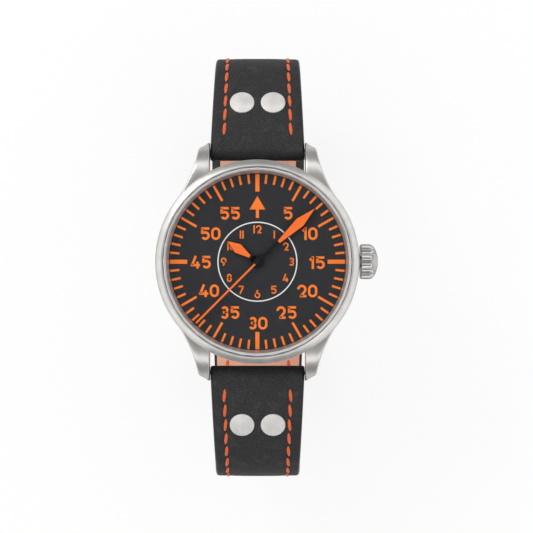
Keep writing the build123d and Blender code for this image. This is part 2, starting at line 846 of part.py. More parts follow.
def balance_wheel():
    """Rim on three arms, with its staff, roller and impulse pin."""
    low = balance_level
    high = low + balance_height
    body = ring(balance_radius, balance_radius - balance_rim_width, low, high, balance_place)
    arm_low = high - wheel_thickness
    for index in range(balance_arm_count):
        angle = index * 360 / balance_arm_count
        rim = polar(balance_place, balance_radius - balance_rim_width / 2, angle)
        arm = Box(math.dist(rim, balance_place), arm_width, wheel_thickness,
                  align=(Align.MIN, Align.CENTER, Align.MIN))
        body = body + Pos(balance_place[0], balance_place[1], z_at(arm_low)) * Rot(0, 0, angle) * arm
    body = body + disc(hub_radius, arm_low, high, balance_place)
    collet = spring_inner_radius - spring_strip / 2 - pivot_clearance
    body = body + disc(collet, great_level, arm_low, balance_place)
    roller_low = high + roller_drop
    body = body + disc(roller_radius, roller_low, roller_low + roller_thickness, balance_place)
    ahead = math.degrees(direction(balance_place, pallet_place))
    pin = polar(balance_place, roller_radius - impulse_pin_radius, ahead)
    pin_low = roller_low + roller_thickness
    body = body + disc(impulse_pin_radius, pin_low, pin_low + impulse_pin_length, pin)
    body = body + disc(axle_radius, bridge_top_h + leaf_overhang / 2, plate_h - leaf_overhang / 2, balance_place)
    low_end = bridge_h + jewel_height / 2
    return body + disc(pivot_radius, low_end, plate_h + pivot_depth, balance_place)


def hairspring():
    """Flat spiral strip from the collet to the stud in the balance cock."""
    growth = (spring_outer_radius - spring_inner_radius) / spring_turns
    count = spring_turns * spring_sides
    outer = []
    inner = []
    arm = math.degrees(direction(balance_place, cock_place))
    for index in range(count + 1):
        radius = spring_inner_radius + growth * index / spring_sides
        angle = arm + 360 * index / spring_sides
        outer.append(polar(balance_place, radius + spring_strip / 2, angle))
        inner.append(polar(balance_place, radius - spring_strip / 2, angle))
    print("hairspring least gap between turns", round(growth - spring_strip, 3))
    return plate_from(outer + inner[::-1], great_level + spring_lift, spring_height)


def hole_places():
    """Pivot places of the train, as (place, bridge side)."""
    return {
        "great": great_place,
        "third": third_place,
        "fourth": dial_centre,
        "escape": escape_place,
        "balance": balance_place,
    }


def jewels():
    """Ruby bearings: one above and one below each pivot of the train."""
    stones = []
    bore = pivot_radius + pivot_clearance
    for name, place in hole_places().items():
        stones.append(ring(jewel_radius, bore, bridge_h, bridge_h + jewel_height, place))
        if name in ("third", "escape", "balance"):
            stones.append(ring(jewel_radius, bore, plate_h, plate_h + jewel_height, place))
    return Compound(children=stones)


def main_plate():
    """Plate under the dial with pillars for the bridges and a pocket for the stem."""
    body = disc(movement_radius, plate_h, plate_top_h)
    pillars = barrel_pillars + train_pillars + [cock_place]
    for place in pillars:
        body = body + disc(pillar_radius, bridge_top_h, plate_h, place)
    pocket = x_rod(keyless_pocket_radius, keyless_pocket_x, movement_radius + overrun, 0, z_at(stem_h))
    body = body - pocket
    for name, place in hole_places().items():
        if name in ("third", "escape", "balance"):
            body = body - disc(jewel_radius, plate_h, plate_h + jewel_height, place)
            body = body - disc(axle_radius, plate_h, plate_h + pivot_depth + jewel_height, place)
    body = body - disc(axle_radius + running_gap, 0, plate_top_h, great_place)
    body = body - disc(pivot_radius + pivot_clearance, plate_h, plate_h + pivot_depth, pallet_place)
    body = body - disc(pivot_radius + axle_radius, plate_h, plate_h + pivot_depth, barrel_place)
    body = body - disc(center_tube_radius, plate_h, plate_top_h)
    return body + disc(post_radius, plate_top_h, dial_h - motion_gap, minute_place)


def center_tube():
    """Fixed tube between the seconds arbor and the cannon pinion."""
    high = minute_hand_h
    return ring(center_tube_radius, center_tube_bore, plate_h, high)


def half_plane(low_along):
    """Large block on the barrel side of the bridges' dividing line."""
    size = 4 * movement_radius
    block = Box(size, size, bridge_thickness, align=(Align.MIN, Align.CENTER, Align.MIN))
    angle = math.degrees(direction(dial_centre, barrel_place))
    return Pos(0, 0, z_at(bridge_h)) * Rot(0, 0, angle) * Pos(low_along, 0, 0) * block


def bridge_blank():
    """Full disc of the bridges with its balance well and pivot holes."""
    body = disc(bridge_radius, bridge_h, bridge_top_h)
    well = balance_radius + balance_well_gap
    body = body - disc(well, bridge_h, bridge_top_h, balance_place)
    foot = link(cock_place, balance_place, cock_width + 2 * split_gap, bridge_h, bridge_thickness)
    body = body - foot
    for name, place in hole_places().items():
        if name != "balance":
            body = body - disc(jewel_radius, bridge_h, bridge_h + jewel_height, place)
            body = body - disc(axle_radius, bridge_h, bridge_top_h, place)
    return body


def barrel_bridge():
    body = bridge_blank() & half_plane(bridge_split + split_gap / 2)
    body = body - disc(barrel_arbor_radius + 2 * running_gap, bridge_h, bridge_top_h, barrel_place)
    hub = crown_hub_radius - 2 * ratchet_module + running_gap
    body = body - disc(hub, bridge_h, bridge_top_h, crown_wheel_place)
    return body


def train_bridge():
    return bridge_blank() - half_plane(bridge_split - split_gap / 2)


def balance_cock():
    """Single-footed bridge over the balance, with the hairspring's stud."""
    body = link(cock_place, balance_place, cock_width, bridge_h, bridge_thickness)
    body = body + disc(cock_hub_radius, bridge_h, bridge_top_h, balance_place)
    rim = disc(bridge_radius, bridge_h, bridge_top_h)
    body = body & rim
    arm = math.degrees(direction(balance_place, cock_place))
    stud = polar(balance_place, spring_outer_radius + spring_strip / 2 + stud_radius, arm)
    body = body + disc(stud_radius, bridge_top_h, great_level + spring_lift + spring_height, stud)
    body = body - disc(jewel_radius, bridge_h, bridge_h + jewel_height, balance_place)
    return body - disc(axle_radius, bridge_h, bridge_top_h, balance_place)


def movement_ring():
    """Ring that holds the movement in the case, with a way through for the stem."""
    low = back_flange_thickness + back_spigot_height
    body = ring(bore_radius - running_gap, movement_radius, low, dial_h)
    return body - x_rod(keyless_pocket_radius, movement_radius - overrun, bore_radius, 0, z_at(stem_h))


def rotor():
    """Half disc with a heavy rim, windows and a central hub."""
    half = Box(2 * rotor_radius + overrun, rotor_radius + overrun, rotor_rim_height,
               align=(Align.CENTER, Align.MAX, Align.MIN))
    half = Pos(0, rotor_hub_radius * rotor_edge_share, z_at(rotor_h)) * half
    plate = disc(rotor_radius, rotor_h, rotor_h + rotor_plate_thickness)
    inner = rotor_radius - rotor_rim_width
    rim = ring(rotor_radius, inner, rotor_h, rotor_h + rotor_rim_height)
    window = ring(inner - rotor_window_margin, rotor_hub_radius + rotor_window_margin,
                  rotor_h - overrun, rotor_h + rotor_plate_thickness + overrun)
    for index in range(rotor_arm_count + 1):
        bar = Box(2 * rotor_radius, rotor_arm_width, 4 * overrun)
        window = window - Pos(0, 0, z_at(rotor_h)) * Rot(0, 0, index * 180 / rotor_arm_count) * bar
    body = (plate - window + rim) & half
    body = body + disc(rotor_hub_radius, rotor_h, rotor_h + rotor_plate_thickness * 2)
    return body - disc(rotor_post_radius + 2 * running_gap, rotor_h - overrun, bridge_h + overrun)


def rotor_post():
    """Bearing post on the train bridge, with a head that keeps the rotor on."""
    head_low = rotor_h - rotor_post_head_height - pivot_clearance
    body = disc(rotor_post_radius, rotor_h - pivot_clearance, bridge_h)
    body = body + disc(rotor_post_head_radius, head_low, rotor_h - pivot_clearance)
    return body - disc(jewel_radius, bridge_h - jewel_height, bridge_h)


def cannon_pinion():
    """Tube over the centre tube; leaves below, the minute hand on top."""
    high = minute_hand_h + hand_thickness
    body = disc(cannon_radius, motion_level, high)
    body = body + toothed(motion_leaves, motion_module, motion_level, motion_level + motion_thickness, dial_centre,
                          cannon_phase, leaf=True)
    return body - disc(cannon_bore, motion_level - overrun, high + overrun)


def minute_wheel():
    """Reduces the cannon pinion's turn for the hour wheel."""
    place = minute_place
    top = hour_level + motion_thickness
    body = toothed(minute_teeth, motion_module, motion_level, motion_level + motion_thickness, place, motion_phase)
    body = body + toothed(minute_leaves, hour_module, motion_level, top, place, 0, leaf=True)
    return body - disc(post_radius + running_gap, motion_level - overrun, top + overrun, place)


def hour_wheel():
    """Tube over the cannon pinion that carries the hour hand."""
    high = hour_hand_h + hand_thickness
    body = disc(hour_pipe_radius, hour_level, high)
    body = body + toothed(hour_teeth, hour_module, hour_level, hour_level + motion_thickness, dial_centre, hour_phase)
    return body - disc(hour_pipe_bore, hour_level - overrun, high + overrun)


def winding_pinion():
    """Ribbed pinion on the stem, under the crown wheel."""
    body = x_rod(pinion_radius, pinion_start_x, pinion_start_x + pinion_length, 0, z_at(stem_h))
    rib = Box(pinion_length / 2, rib_width, rib_depth, align=(Align.MIN, Align.CENTER, Align.MAX))
    for index in range(pinion_rib_count):
        turn = Rot(index * 360 / pinion_rib_count, 0, 0)
        place = Pos(pinion_start_x, 0, z_at(stem_h)) * turn * Pos(pinion_length / 2, 0, pinion_radius)
        body = body - place * rib
    return body - x_rod(stem_radius + 2 * running_gap, pinion_start_x, pinion_start_x + pinion_length, 0, z_at(stem_h))


def sliding_clutch():
    """Sleeve on the stem with a groove for its lever."""
    end = clutch_start_x + clutch_length
    body = x_rod(clutch_radius, clutch_start_x, end, 0, z_at(stem_h))
    middle = (clutch_start_x + end) / 2
    groove = x_rod(clutch_radius + overrun, middle - groove_width / 2, middle + groove_width / 2, 0, z_at(stem_h))
    groove = groove - x_rod(clutch_radius - groove_width, clutch_start_x, end, 0, z_at(stem_h))
    return body - groove - x_rod(stem_radius + 2 * running_gap, clutch_start_x, end, 0, z_at(stem_h))


# Strap loop. Depths are counted inwards from the outer leather face.
# Each half leaves its lug on arcs that turn down and under, and the last arc ends level at Y = 0.
strap_lug_width = 19.8
strap_width = 18.0
strap_lug_end_y = 21.7
strap_short_end_y = 9.0
strap_thickness_lug = 4.3
strap_thickness_back = 2.2
lining_thickness = 0.7
tail_thickness = 2.2
tail_lift = 2.3
tail_end_y = 30.0
strap_top_lug = 2.45
taper_level_share = 0.65
short_headings = (-15.5, -30, -44, -148, -180)
long_headings = (-12, -23, -42, -146, -180)
short_radii = (46.0, 36.0)
long_radii = (60.0, 31.0)
short_rivet_heading = -32.0
long_rivet_heading = -25.0
rivet_spacing = 6.5
rivet_radius = 2.6
rivet_thickness = 0.55
rivet_sink = 0.25
rivet_ring = 0.12
rivet_shank_radius = 0.9
rivet_cap_radius = 2.2
rivet_cap_thickness = 0.4
hole_pitch = 6.5
hole_steps = (-3, -2, -1, 0, 1, 2, 3)
hole_radius = 0.8
tongue_hole_y = 7.0
tongue_hole_length = 4.6
tongue_hole_width = 2.6

# Buckle and keepers
buckle_bar_y = 10.0
buckle_bar_radius = 0.75
buckle_side_gap = 0.3
buckle_side_thickness = 1.7
buckle_front_radius = 1.0
buckle_front_y = -2.6
buckle_heel_radius = 1.45
tongue_width = 1.9
tongue_thickness = 0.85
tongue_eye_radius = 1.35
tongue_knee_share = 0.7
tongue_rise_share = 0.5
fixed_keeper_y = 14.6
sliding_keeper_y = 22.6
keeper_length = 5.0
keeper_wall = 1.0
keeper_gap = 0.3


def arc_step(radius, first, second):
    """Offset travelled along an arc that turns clockwise between two headings in degrees."""
    start = math.radians(first)
    end = math.radians(second)
    return (radius * (math.sin(start) - math.sin(end)), radius * (math.cos(end) - math.cos(start)))


def strap_chain(headings, radii, depth, end_z):
    """Arcs of one leather face, as (start, heading, next heading, radius).

    The first radii are given; the last two are worked out so that the face ends level at Y = 0.
    """
    angle = math.radians(headings[0])
    nose = (bar_y - strap_lug_end_y) / math.cos(angle)
    out = strap_top_lug - depth
    y = bar_y - nose * math.cos(angle) - out * math.sin(angle)
    z = z_at(bar_h) - nose * math.sin(angle) + out * math.cos(angle)
    arcs = []
    for index, radius in enumerate(radii):
        turned_radius = radius - depth
        arcs.append(((y, z), headings[index], headings[index + 1], turned_radius))
        step = arc_step(turned_radius, headings[index], headings[index + 1])
        y = y + step[0]
        z = z + step[1]
    index = len(radii)
    side = arc_step(1, headings[index], headings[index + 1])
    under = arc_step(1, headings[index + 1], headings[index + 2])
    scale = side[0] * under[1] - side[1] * under[0]
    fall = end_z - z
    side_radius = (-y * under[1] - fall * under[0]) / scale
    under_radius = (side[0] * fall + side[1] * y) / scale
    arcs.append(((y, z), headings[index], headings[index + 1], side_radius))
    y = y + side_radius * side[0]
    z = z + side_radius * side[1]
    arcs.append(((y, z), headings[index + 1], headings[index + 2], under_radius))
    return arcs


def arc_edge(start, first, second, radius):
    """Clockwise arc from a point, between two headings."""
    half = arc_step(radius, first, (first + second) / 2)
    full = arc_step(radius, first, second)
    middle = (start[0] + half[0], start[1] + half[1])
    end = (start[0] + full[0], start[1] + full[1])
    return ThreePointArc(start, middle, end)


short_outer_end_z = tail_lift + tail_thickness + soft_gap


def short_chain(depth_share):
    """Face of the 12 o'clock half at a share of its thickness."""
    depth = strap_thickness_lug * depth_share
    return strap_chain(short_headings, short_radii, depth, short_outer_end_z + strap_thickness_back * depth_share)


short_outer = short_chain(0)
under_centre_z = short_outer_end_z + short_outer[-1][3]
tail_inner_radius = short_outer[-1][3] + soft_gap


def chain_edges(chain, stop_y=None):
    """Edges of a face; the last arc may stop early at a given Y."""
    edges = []
    for index, (start, first, second, radius) in enumerate(chain):
        if stop_y is not None and index == len(chain) - 1:
            second = -180 + math.degrees(math.asin(stop_y / radius))
        edges.append(arc_edge(start, first, second, radius))
    return edges


def under_arc(radius, start_y, end_y):
    """Arc about the centre of the strap's underside, on the other side of Y = 0."""
    first = math.asin(start_y / radius)
    last = math.asin(end_y / radius)
    middle = (first + last) / 2
    points = [(radius * math.sin(turn), under_centre_z - radius * math.cos(turn)) for turn in (first, middle, last)]
    return ThreePointArc(*points)


def band(outer_edges, inner_edges, half_width):
    """Solid between two faces of the strap, across its width."""
    nose = Line(inner_edges[0] @ 0, outer_edges[0] @ 0)
    end = Line(outer_edges[-1] @ 1, inner_edges[-1] @ 1)
    face = make_face([nose] + outer_edges + [end] + inner_edges)
    return extrude(Plane.YZ * face, half_width, both=True)


def taper_block():
    """Plan outline of a strap half: it narrows from the lugs to its full reach."""
    reach = 3 * strap_lug_end_y
    narrow_y = 2 * strap_lug_end_y
    lug_half = strap_lug_width / 2
    half = strap_width / 2
    outline = Polyline(
        (lug_half, 0), (lug_half, strap_lug_end_y), (half, narrow_y), (half, reach),
        (-half, reach), (-half, narrow_y), (-lug_half, strap_lug_end_y), (-lug_half, 0), close=True)
    middle_z = back_plane_z * taper_level_share
    upper = extrude(Pos(0, 0, middle_z) * make_face(outline), back_plane_z)
    lower = Box(strap_width, 2 * reach, middle_z + back_plane_z, align=(Align.CENTER, Align.CENTER, Align.MAX))
    return upper + Pos(0, 0, middle_z) * lower


def chain_point(chain, heading):
    """Point of a face where it has a given heading."""
    for start, first, second, radius in chain:
        if second <= heading <= first:
            step = arc_step(radius, first, heading)
            return (start[0] + step[0], start[1] + step[1])
    return chain[0][0]


def along_normal(point, heading, shift, x):
    """Frame on a face, moved along its outward normal; Z of the frame points outwards."""
    angle = math.radians(heading)
    normal = (-math.sin(angle), math.cos(angle))
    origin = (x, point[0] + shift * normal[0], point[1] + shift * normal[1])
    return Plane(origin=origin, x_dir=(1, 0, 0), z_dir=(0, normal[0], normal[1]))


def stub(radius, height, low=0):
    return Pos(0, 0, low) * rod(radius, height)


def rivet_frames(outer_chain, heading):
    point = chain_point(outer_chain, heading)
    return [along_normal(point, heading, 0, x) for x in (-rivet_spacing / 2, rivet_spacing / 2)]


def leather_thickness(outer_chain, inner_chain, heading):
    return math.dist(chain_point(outer_chain, heading), chain_point(inner_chain, heading))


def rivets(outer_chain, seam_chain, heading):
    """Two steel rivets: flat disc outside, shank through the leather and a cap that the lining hides."""
    thick = leather_thickness(outer_chain, seam_chain, heading)
    cap_low = running_gap - thick
    made = []
    for frame in rivet_frames(outer_chain, heading):
        head = stub(rivet_radius, rivet_thickness, -rivet_sink)
        cap = stub(rivet_cap_radius, rivet_cap_thickness, cap_low)
        shank = stub(rivet_shank_radius, -rivet_sink - cap_low, cap_low)
        made.append(frame * (head + shank + cap))
    return made


def rivet_cut(outer_chain, seam_chain, heading):
    """Seats and holes that the rivets leave in the leather."""
    thick = leather_thickness(outer_chain, seam_chain, heading)
    cuts = []
    for frame in rivet_frames(outer_chain, heading):
        seat = stub(rivet_radius + rivet_ring, overrun, -rivet_sink)
        hole = stub(rivet_shank_radius, thick + overrun, -thick - overrun / 2)
        cap_seat = stub(rivet_cap_radius + rivet_ring, rivet_cap_thickness + running_gap + overrun, -thick - overrun)
        cuts.append(frame * (seat + hole + cap_seat))
    return cuts


def short_faces():
    """Outer face, lining seam and inner face of the 12 o'clock half."""
    back = short_outer_end_z
    seam_z = back + strap_thickness_back - lining_thickness
    outer = strap_chain(short_headings, short_radii, 0, back)
    seam = strap_chain(short_headings, short_radii, strap_thickness_lug - lining_thickness, seam_z)
    inner = strap_chain(short_headings, short_radii, strap_thickness_lug, back + strap_thickness_back)
    return outer, seam, inner


def long_faces():
    """The same faces of the 6 o'clock half, drawn on the +Y side."""
    back = under_centre_z - tail_inner_radius - tail_thickness
    seam_z = back + tail_thickness - lining_thickness
    outer = strap_chain(long_headings, long_radii, 0, back)
    seam = strap_chain(long_headings, long_radii, strap_thickness_lug - lining_thickness, seam_z)
    inner = strap_chain(long_headings, long_radii, strap_thickness_lug, back + tail_thickness)
    return outer, seam, inner


def bar_cut(side):
    return x_rod(bar_radius + running_gap, -lug_gap, lug_gap, side * bar_y, z_at(bar_h))


def heel_place():
    """Centre of the buckle bar, in the middle of the short half's end."""
    outer, seam, inner = short_faces()
    middle_radius = outer[-1][3] - strap_thickness_back / 2
    height = under_centre_z - math.sqrt(middle_radius ** 2 - buckle_bar_y ** 2)
    return (buckle_bar_y, height)


def short_half(layer):
    """Leather or lining of the 12 o'clock half, which carries the buckle."""
    outer, seam, inner = short_faces()
    top, low = (outer, seam) if layer == "leather" else (seam, inner)
    half = strap_lug_width / 2
    body = band(chain_edges(top, strap_short_end_y), chain_edges(low, strap_short_end_y), half) & taper_block()
    if layer == "leather":
        for cut in rivet_cut(outer, seam, short_rivet_heading):
            body = body - cut
    heel = heel_place()
    eye = x_rod(buckle_bar_radius + 2 * running_gap, -lug_gap, lug_gap, heel[0], heel[1])
    slot_half = tongue_width / 2 + running_gap * 4
    slot_end = buckle_bar_y + tongue_eye_radius + 4 * running_gap
    slot = Box(2 * slot_half, slot_end, 2 * tongue_eye_radius + overrun, align=(Align.CENTER, Align.MIN, Align.CENTER))
    slot = Pos(0, 0, heel[1]) * slot
    return body - bar_cut(1) - eye - slot


def tail_cuts():
    """Adjustment holes of the long half and the longer one that the tongue uses."""
    cuts = []
    middle_radius = tail_inner_radius + tail_thickness / 2
    for index in hole_steps:
        turn = (tongue_hole_y + index * hole_pitch) / middle_radius
        y = middle_radius * math.sin(turn)
        z = under_centre_z - middle_radius * math.cos(turn)
        if index == 0:
            cut = Box(tongue_hole_width, tongue_hole_length, 4 * tail_thickness)
        else:
            cut = stub(hole_radius, 2 * tail_thickness, -tail_thickness)
        cuts.append(Pos(0, y, z) * Rot(math.degrees(turn), 0, 0) * cut)
    return cuts


def long_half(layer):
    """Leather or lining of the 6 o'clock half, through the buckle to its rounded end."""
    outer, seam, inner = long_faces()
    top, low = (outer, seam) if layer == "leather" else (seam, inner)
    top_radius = tail_inner_radius + tail_thickness
    low_radius = tail_inner_radius + lining_thickness
    if layer != "leather":
        top_radius = low_radius
        low_radius = tail_inner_radius
    half = strap_lug_width / 2
    main = band(chain_edges(top), chain_edges(low), half) & taper_block()
    if layer == "leather":
        for cut in rivet_cut(outer, seam, long_rivet_heading):
            main = main - cut
    main = mirror(main - bar_cut(1), about=Plane.XZ)
    tail = band([under_arc(top_radius, 0, tail_end_y)], [under_arc(low_radius, 0, tail_end_y)], strap_width / 2)
    body = main + tail
    corner = Box(strap_width, tail_end_y, back_plane_z, align=(Align.CENTER, Align.MIN, Align.CENTER))
    round_end = Cylinder(strap_width / 2, back_plane_z)
    corner_y = tail_end_y - strap_width / 2
    body = body - (Pos(0, corner_y, 0) * corner - Pos(0, corner_y, 0) * round_end)
    for cut in tail_cuts():
        body = body - cut
    return body


def spring_bars(side):
    """Spring bar of one lug pair: a tube with two thinner tips."""
    half = lug_gap / 2 - bar_end_gap
    body = x_rod(bar_radius, -half, half, side * bar_y, z_at(bar_h))
    tip = lug_gap / 2 + bar_tip_length
    return body + x_rod(bar_tip_radius, -tip, tip, side * bar_y, z_at(bar_h))


def buckle_frame():
    """Two side arms joined by the front bar that the tongue rests on."""
    heel = heel_place()
    front = (buckle_front_y, buckle_front_radius)
    inner = strap_width / 2 + buckle_side_gap
    outer = inner + buckle_side_thickness
    body = x_rod(buckle_front_radius, -outer, outer, front[0], front[1])
    length = math.dist(heel, front)
    angle = math.degrees(math.atan2(heel[1] - front[1], heel[0] - front[0]))
    for side in (-1, 1):
        low_x = inner if side > 0 else -outer
        body = body + x_rod(buckle_heel_radius, low_x, low_x + buckle_side_thickness, heel[0], heel[1])
        arm = Box(buckle_side_thickness, length, 2 * buckle_front_radius, align=(Align.MIN, Align.MIN, Align.CENTER))
        body = body + Pos(low_x, front[0], front[1]) * Rot(angle, 0, 0) * arm
    body = body - x_rod(buckle_bar_radius, -outer - overrun, outer + overrun, heel[0], heel[1])
    notch = Box(tongue_width + 4 * running_gap, 4 * buckle_front_radius, tongue_thickness + running_gap)
    return body - Pos(0, front[0], (tongue_thickness + running_gap) / 2) * notch


def buckle_bar():
    heel = heel_place()
    end = strap_width / 2 + buckle_side_gap + buckle_side_thickness
    return x_rod(buckle_bar_radius, -end, end, heel[0], heel[1])


def tongue_outline():
    """Side view of the tongue: from its eye it drops through the strap to the front bar."""
    heel = heel_place()
    knee_y = tongue_hole_y - tongue_hole_length * tongue_knee_share
    half = tongue_thickness / 2
    outer_z = tongue_thickness / 2
    return [
        (heel[0], heel[1] - half),
        (heel[0], heel[1] + half),
        (heel[0] - tongue_eye_radius, heel[1] + half),
        (knee_y + tongue_thickness, outer_z + tail_lift * tongue_rise_share),
        (buckle_front_y + buckle_front_radius + buckle_side_gap, outer_z + half),
        (buckle_front_y - buckle_front_radius, outer_z + half),
        (buckle_front_y - buckle_front_radius - tongue_thickness, outer_z),
        (buckle_front_y - buckle_front_radius, outer_z - half),
        (knee_y, outer_z - half + tail_lift * tongue_rise_share / 2),
    ]


def buckle_tongue():
    heel = heel_place()
    body = extrude(Plane.YZ * make_face(Polyline(*tongue_outline(), close=True)), tongue_width / 2, both=True)
    half = tongue_width / 2
    body = body + x_rod(tongue_eye_radius, -half, half, heel[0], heel[1])
    return body - x_rod(buckle_bar_radius + 2 * running_gap, -half, half, heel[0], heel[1])


def sector(inner, outer, first_y, last_y, half_width):
    """Block between two radii about the centre of the strap's underside."""
    edges = [under_arc(outer, first_y, last_y)]
    low = [under_arc(inner, first_y, last_y)]
    return band(edges, low, half_width)


def keeper(middle_y):
    """Leather loop round both strap halves."""
    inside = tail_inner_radius + tail_thickness + keeper_gap
    back = tail_inner_radius - soft_gap - strap_thickness_back - keeper_gap
    half = strap_width / 2 + keeper_gap
    first = middle_y - keeper_length / 2
    last = middle_y + keeper_length / 2
    body = sector(back - keeper_wall, inside + keeper_wall, first, last, half + keeper_wall)
    reach = keeper_length
    return body - sector(back, inside, first - reach, last + reach, half)


def write_parts():
    """Write every piece of the watch under its own name."""
    short_outer_face, short_seam, short_inner = short_faces()
    long_outer_face, long_seam, long_inner = long_faces()
    long_rivets = [mirror(one, about=Plane.XZ) for one in rivets(long_outer_face, long_seam, long_rivet_heading)]
    pieces = {
        "middle_case": middle_case(),
        "bezel": bezel(),
        "crystal": crystal(),
        "crystal_gasket": crystal_gasket(),
        "rehaut_ring": rehaut(),
        "case_back": case_back(),
        "back_glass": back_glass(),
        "back_gasket": back_gasket(),
        "crown": crown(),
        "crown_tube": crown_tube(),
        "crown_gasket": crown_gasket(),
        "winding_stem": winding_stem(),
        "dial": dial(),
        "dial_marks": dial_marks(),
        "hour_hand": hour_hand(),
        "hour_hand_lume": hour_hand_lume(),
        "minute_hand": minute_hand(),
        "minute_hand_lume": minute_hand_lume(),
        "seconds_hand": seconds_hand(),
        "movement_ring": movement_ring(),
        "main_plate": main_plate(),
        "barrel_bridge": barrel_bridge(),
        "train_bridge": train_bridge(),
        "balance_cock": balance_cock(),
        "pallet_bridge": pallet_bridge(),
        "jewels": jewels(),
        "center_tube": center_tube(),
        "barrel": barrel(),
        "barrel_arbor": barrel_arbor(),
        "ratchet_wheel": ratchet_wheel(),
        "crown_wheel": crown_wheel(),
        "great_wheel": great_wheel(),
        "third_wheel": third_wheel(),
        "fourth_wheel": fourth_wheel(),
        "escape_wheel": escape_wheel(),
        "pallet_fork": pallet_fork(),
        "balance_wheel": balance_wheel(),
        "hairspring": hairspring(),
        "cannon_pinion": cannon_pinion(),
        "minute_wheel": minute_wheel(),
        "hour_wheel": hour_wheel(),
        "winding_pinion": winding_pinion(),
        "sliding_clutch": sliding_clutch(),
        "rotor": rotor(),
        "rotor_post": rotor_post(),
        "spring_bar_12": spring_bars(1),
        "spring_bar_6": spring_bars(-1),
        "strap_12_leather": short_half("leather"),
        "strap_12_lining": short_half("lining"),
        "strap_6_leather": long_half("leather"),
        "strap_6_lining": long_half("lining"),
        "rivets_12": Compound(children=rivets(short_outer_face, short_seam, short_rivet_heading)),
        "rivets_6": Compound(children=long_rivets),
        "buckle_frame": buckle_frame(),
        "buckle_bar": buckle_bar(),
        "buckle_tongue": buckle_tongue(),
        "fixed_keeper": keeper(fixed_keeper_y),
        "sliding_keeper": keeper(sliding_keeper_y),
    }
    for name, shape in pieces.items():
        save(shape, name)


os.makedirs("parts", exist_ok=True)
write_parts()
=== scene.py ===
"""Looks for a pilot style wristwatch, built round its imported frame.

The dial axis is Z, 12 o'clock lies towards +Y and the crown towards +X. The origin is the
centre of the case back's outer face, and everything is in metres.
"""

import logging
import math
from collections.abc import Callable, Iterable, Sequence
from dataclasses import dataclass, field
from enum import Enum

import bmesh
import bpy
from mathutils import Matrix, Vector


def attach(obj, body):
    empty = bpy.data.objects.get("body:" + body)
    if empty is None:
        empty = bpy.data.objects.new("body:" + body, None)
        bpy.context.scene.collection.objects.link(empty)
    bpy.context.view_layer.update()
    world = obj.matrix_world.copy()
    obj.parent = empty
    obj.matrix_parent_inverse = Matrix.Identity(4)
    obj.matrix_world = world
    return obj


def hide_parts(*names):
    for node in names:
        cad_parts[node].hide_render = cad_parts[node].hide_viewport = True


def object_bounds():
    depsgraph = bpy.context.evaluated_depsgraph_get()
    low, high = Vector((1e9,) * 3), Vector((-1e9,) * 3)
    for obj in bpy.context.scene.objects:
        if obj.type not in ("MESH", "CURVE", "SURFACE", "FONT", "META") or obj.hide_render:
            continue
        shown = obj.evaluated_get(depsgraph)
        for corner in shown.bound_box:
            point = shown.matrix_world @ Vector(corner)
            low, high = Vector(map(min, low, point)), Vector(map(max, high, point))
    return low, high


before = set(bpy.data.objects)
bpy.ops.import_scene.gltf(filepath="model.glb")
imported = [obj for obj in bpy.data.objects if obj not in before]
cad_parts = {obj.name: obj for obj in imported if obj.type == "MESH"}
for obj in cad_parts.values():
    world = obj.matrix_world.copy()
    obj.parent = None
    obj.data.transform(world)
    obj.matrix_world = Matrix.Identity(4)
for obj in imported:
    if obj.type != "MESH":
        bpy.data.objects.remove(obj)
cad_low, cad_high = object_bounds()

MM = 0.001
WELD_DISTANCE = 1e-7
ROUND_STEPS = 192
RIM_STEPS = 256
X_AXIS, Z_AXIS = Vector((1, 0, 0)), Vector((0, 0, 1))
Colour = tuple[float, float, float, float]
Point = tuple[float, float]
log = logging.getLogger("watch")


def clamp(share: float) -> float:
    """A share held between 0 and 1."""
    return min(1.0, max(0.0, share))


def quarter_round(share: float) -> float:
    """Height of a quarter circle at a share of its width."""
    return math.sqrt(max(0.0, 1 - (1 - share) ** 2))


def of_kind(parts: Iterable, kind: type) -> list:
    """The parts that are of one bmesh type."""
    return [part for part in parts if isinstance(part, kind)]


def tinted(colour: Colour, factor: float) -> Colour:
    """A colour made darker or paler by a factor."""
    return (*(min(1.0, part * factor) for part in colour[:3]), 1.0)


def shade(red: float, green: float, blue: float) -> Colour:
    """Turns a colour as the screen shows it into linear light.

    Args:
        red: From 0 to 255.
        green: From 0 to 255.
        blue: From 0 to 255.

    Returns:
        The linear colour.
    """
    linear = []
    for part in (red, green, blue):
        share = part / 255
        linear.append(share / 12.92 if share <= 0.04045 else ((share + 0.055) / 1.055) ** 2.4)
    return (*linear, 1.0)


def parabola(points: Sequence[Point], at: float) -> float:
    """Value of the parabola through three points.

    Args:
        points: Place and value of each.
        at: The place to read.

    Returns:
        The value there.
    """
    (a, fa), (b, fb), (c, fc) = points
    value = fa * (at - b) * (at - c) / ((a - b) * (a - c))
    value += fb * (at - a) * (at - c) / ((b - a) * (b - c))
    return value + fc * (at - a) * (at - b) / ((c - a) * (c - b))


def show(name: str, data: bpy.types.ID) -> bpy.types.Object:
    """Makes an object and puts it in the scene.

    Args:
        name: The object's name.
        data: Its mesh, lamp or camera.

    Returns:
        The object.
    """
    thing = bpy.data.objects.new(name, data)
    bpy.context.scene.collection.objects.link(thing)
    return thing


def round_edges(piece: bpy.types.Object, width: float, angle: float) -> None:
    """Rounds a piece's sharp edges with a Bevel modifier.

    Args:
        piece: The piece.
        width: Width of the rounding.
        angle: Degrees from which an edge is sharp.
    """
    bevel = piece.modifiers.new("bevel", "BEVEL")
    bevel.width, bevel.segments = width, 2
    bevel.limit_method, bevel.angle_limit = "ANGLE", math.radians(angle)
    bevel.harden_normals = True


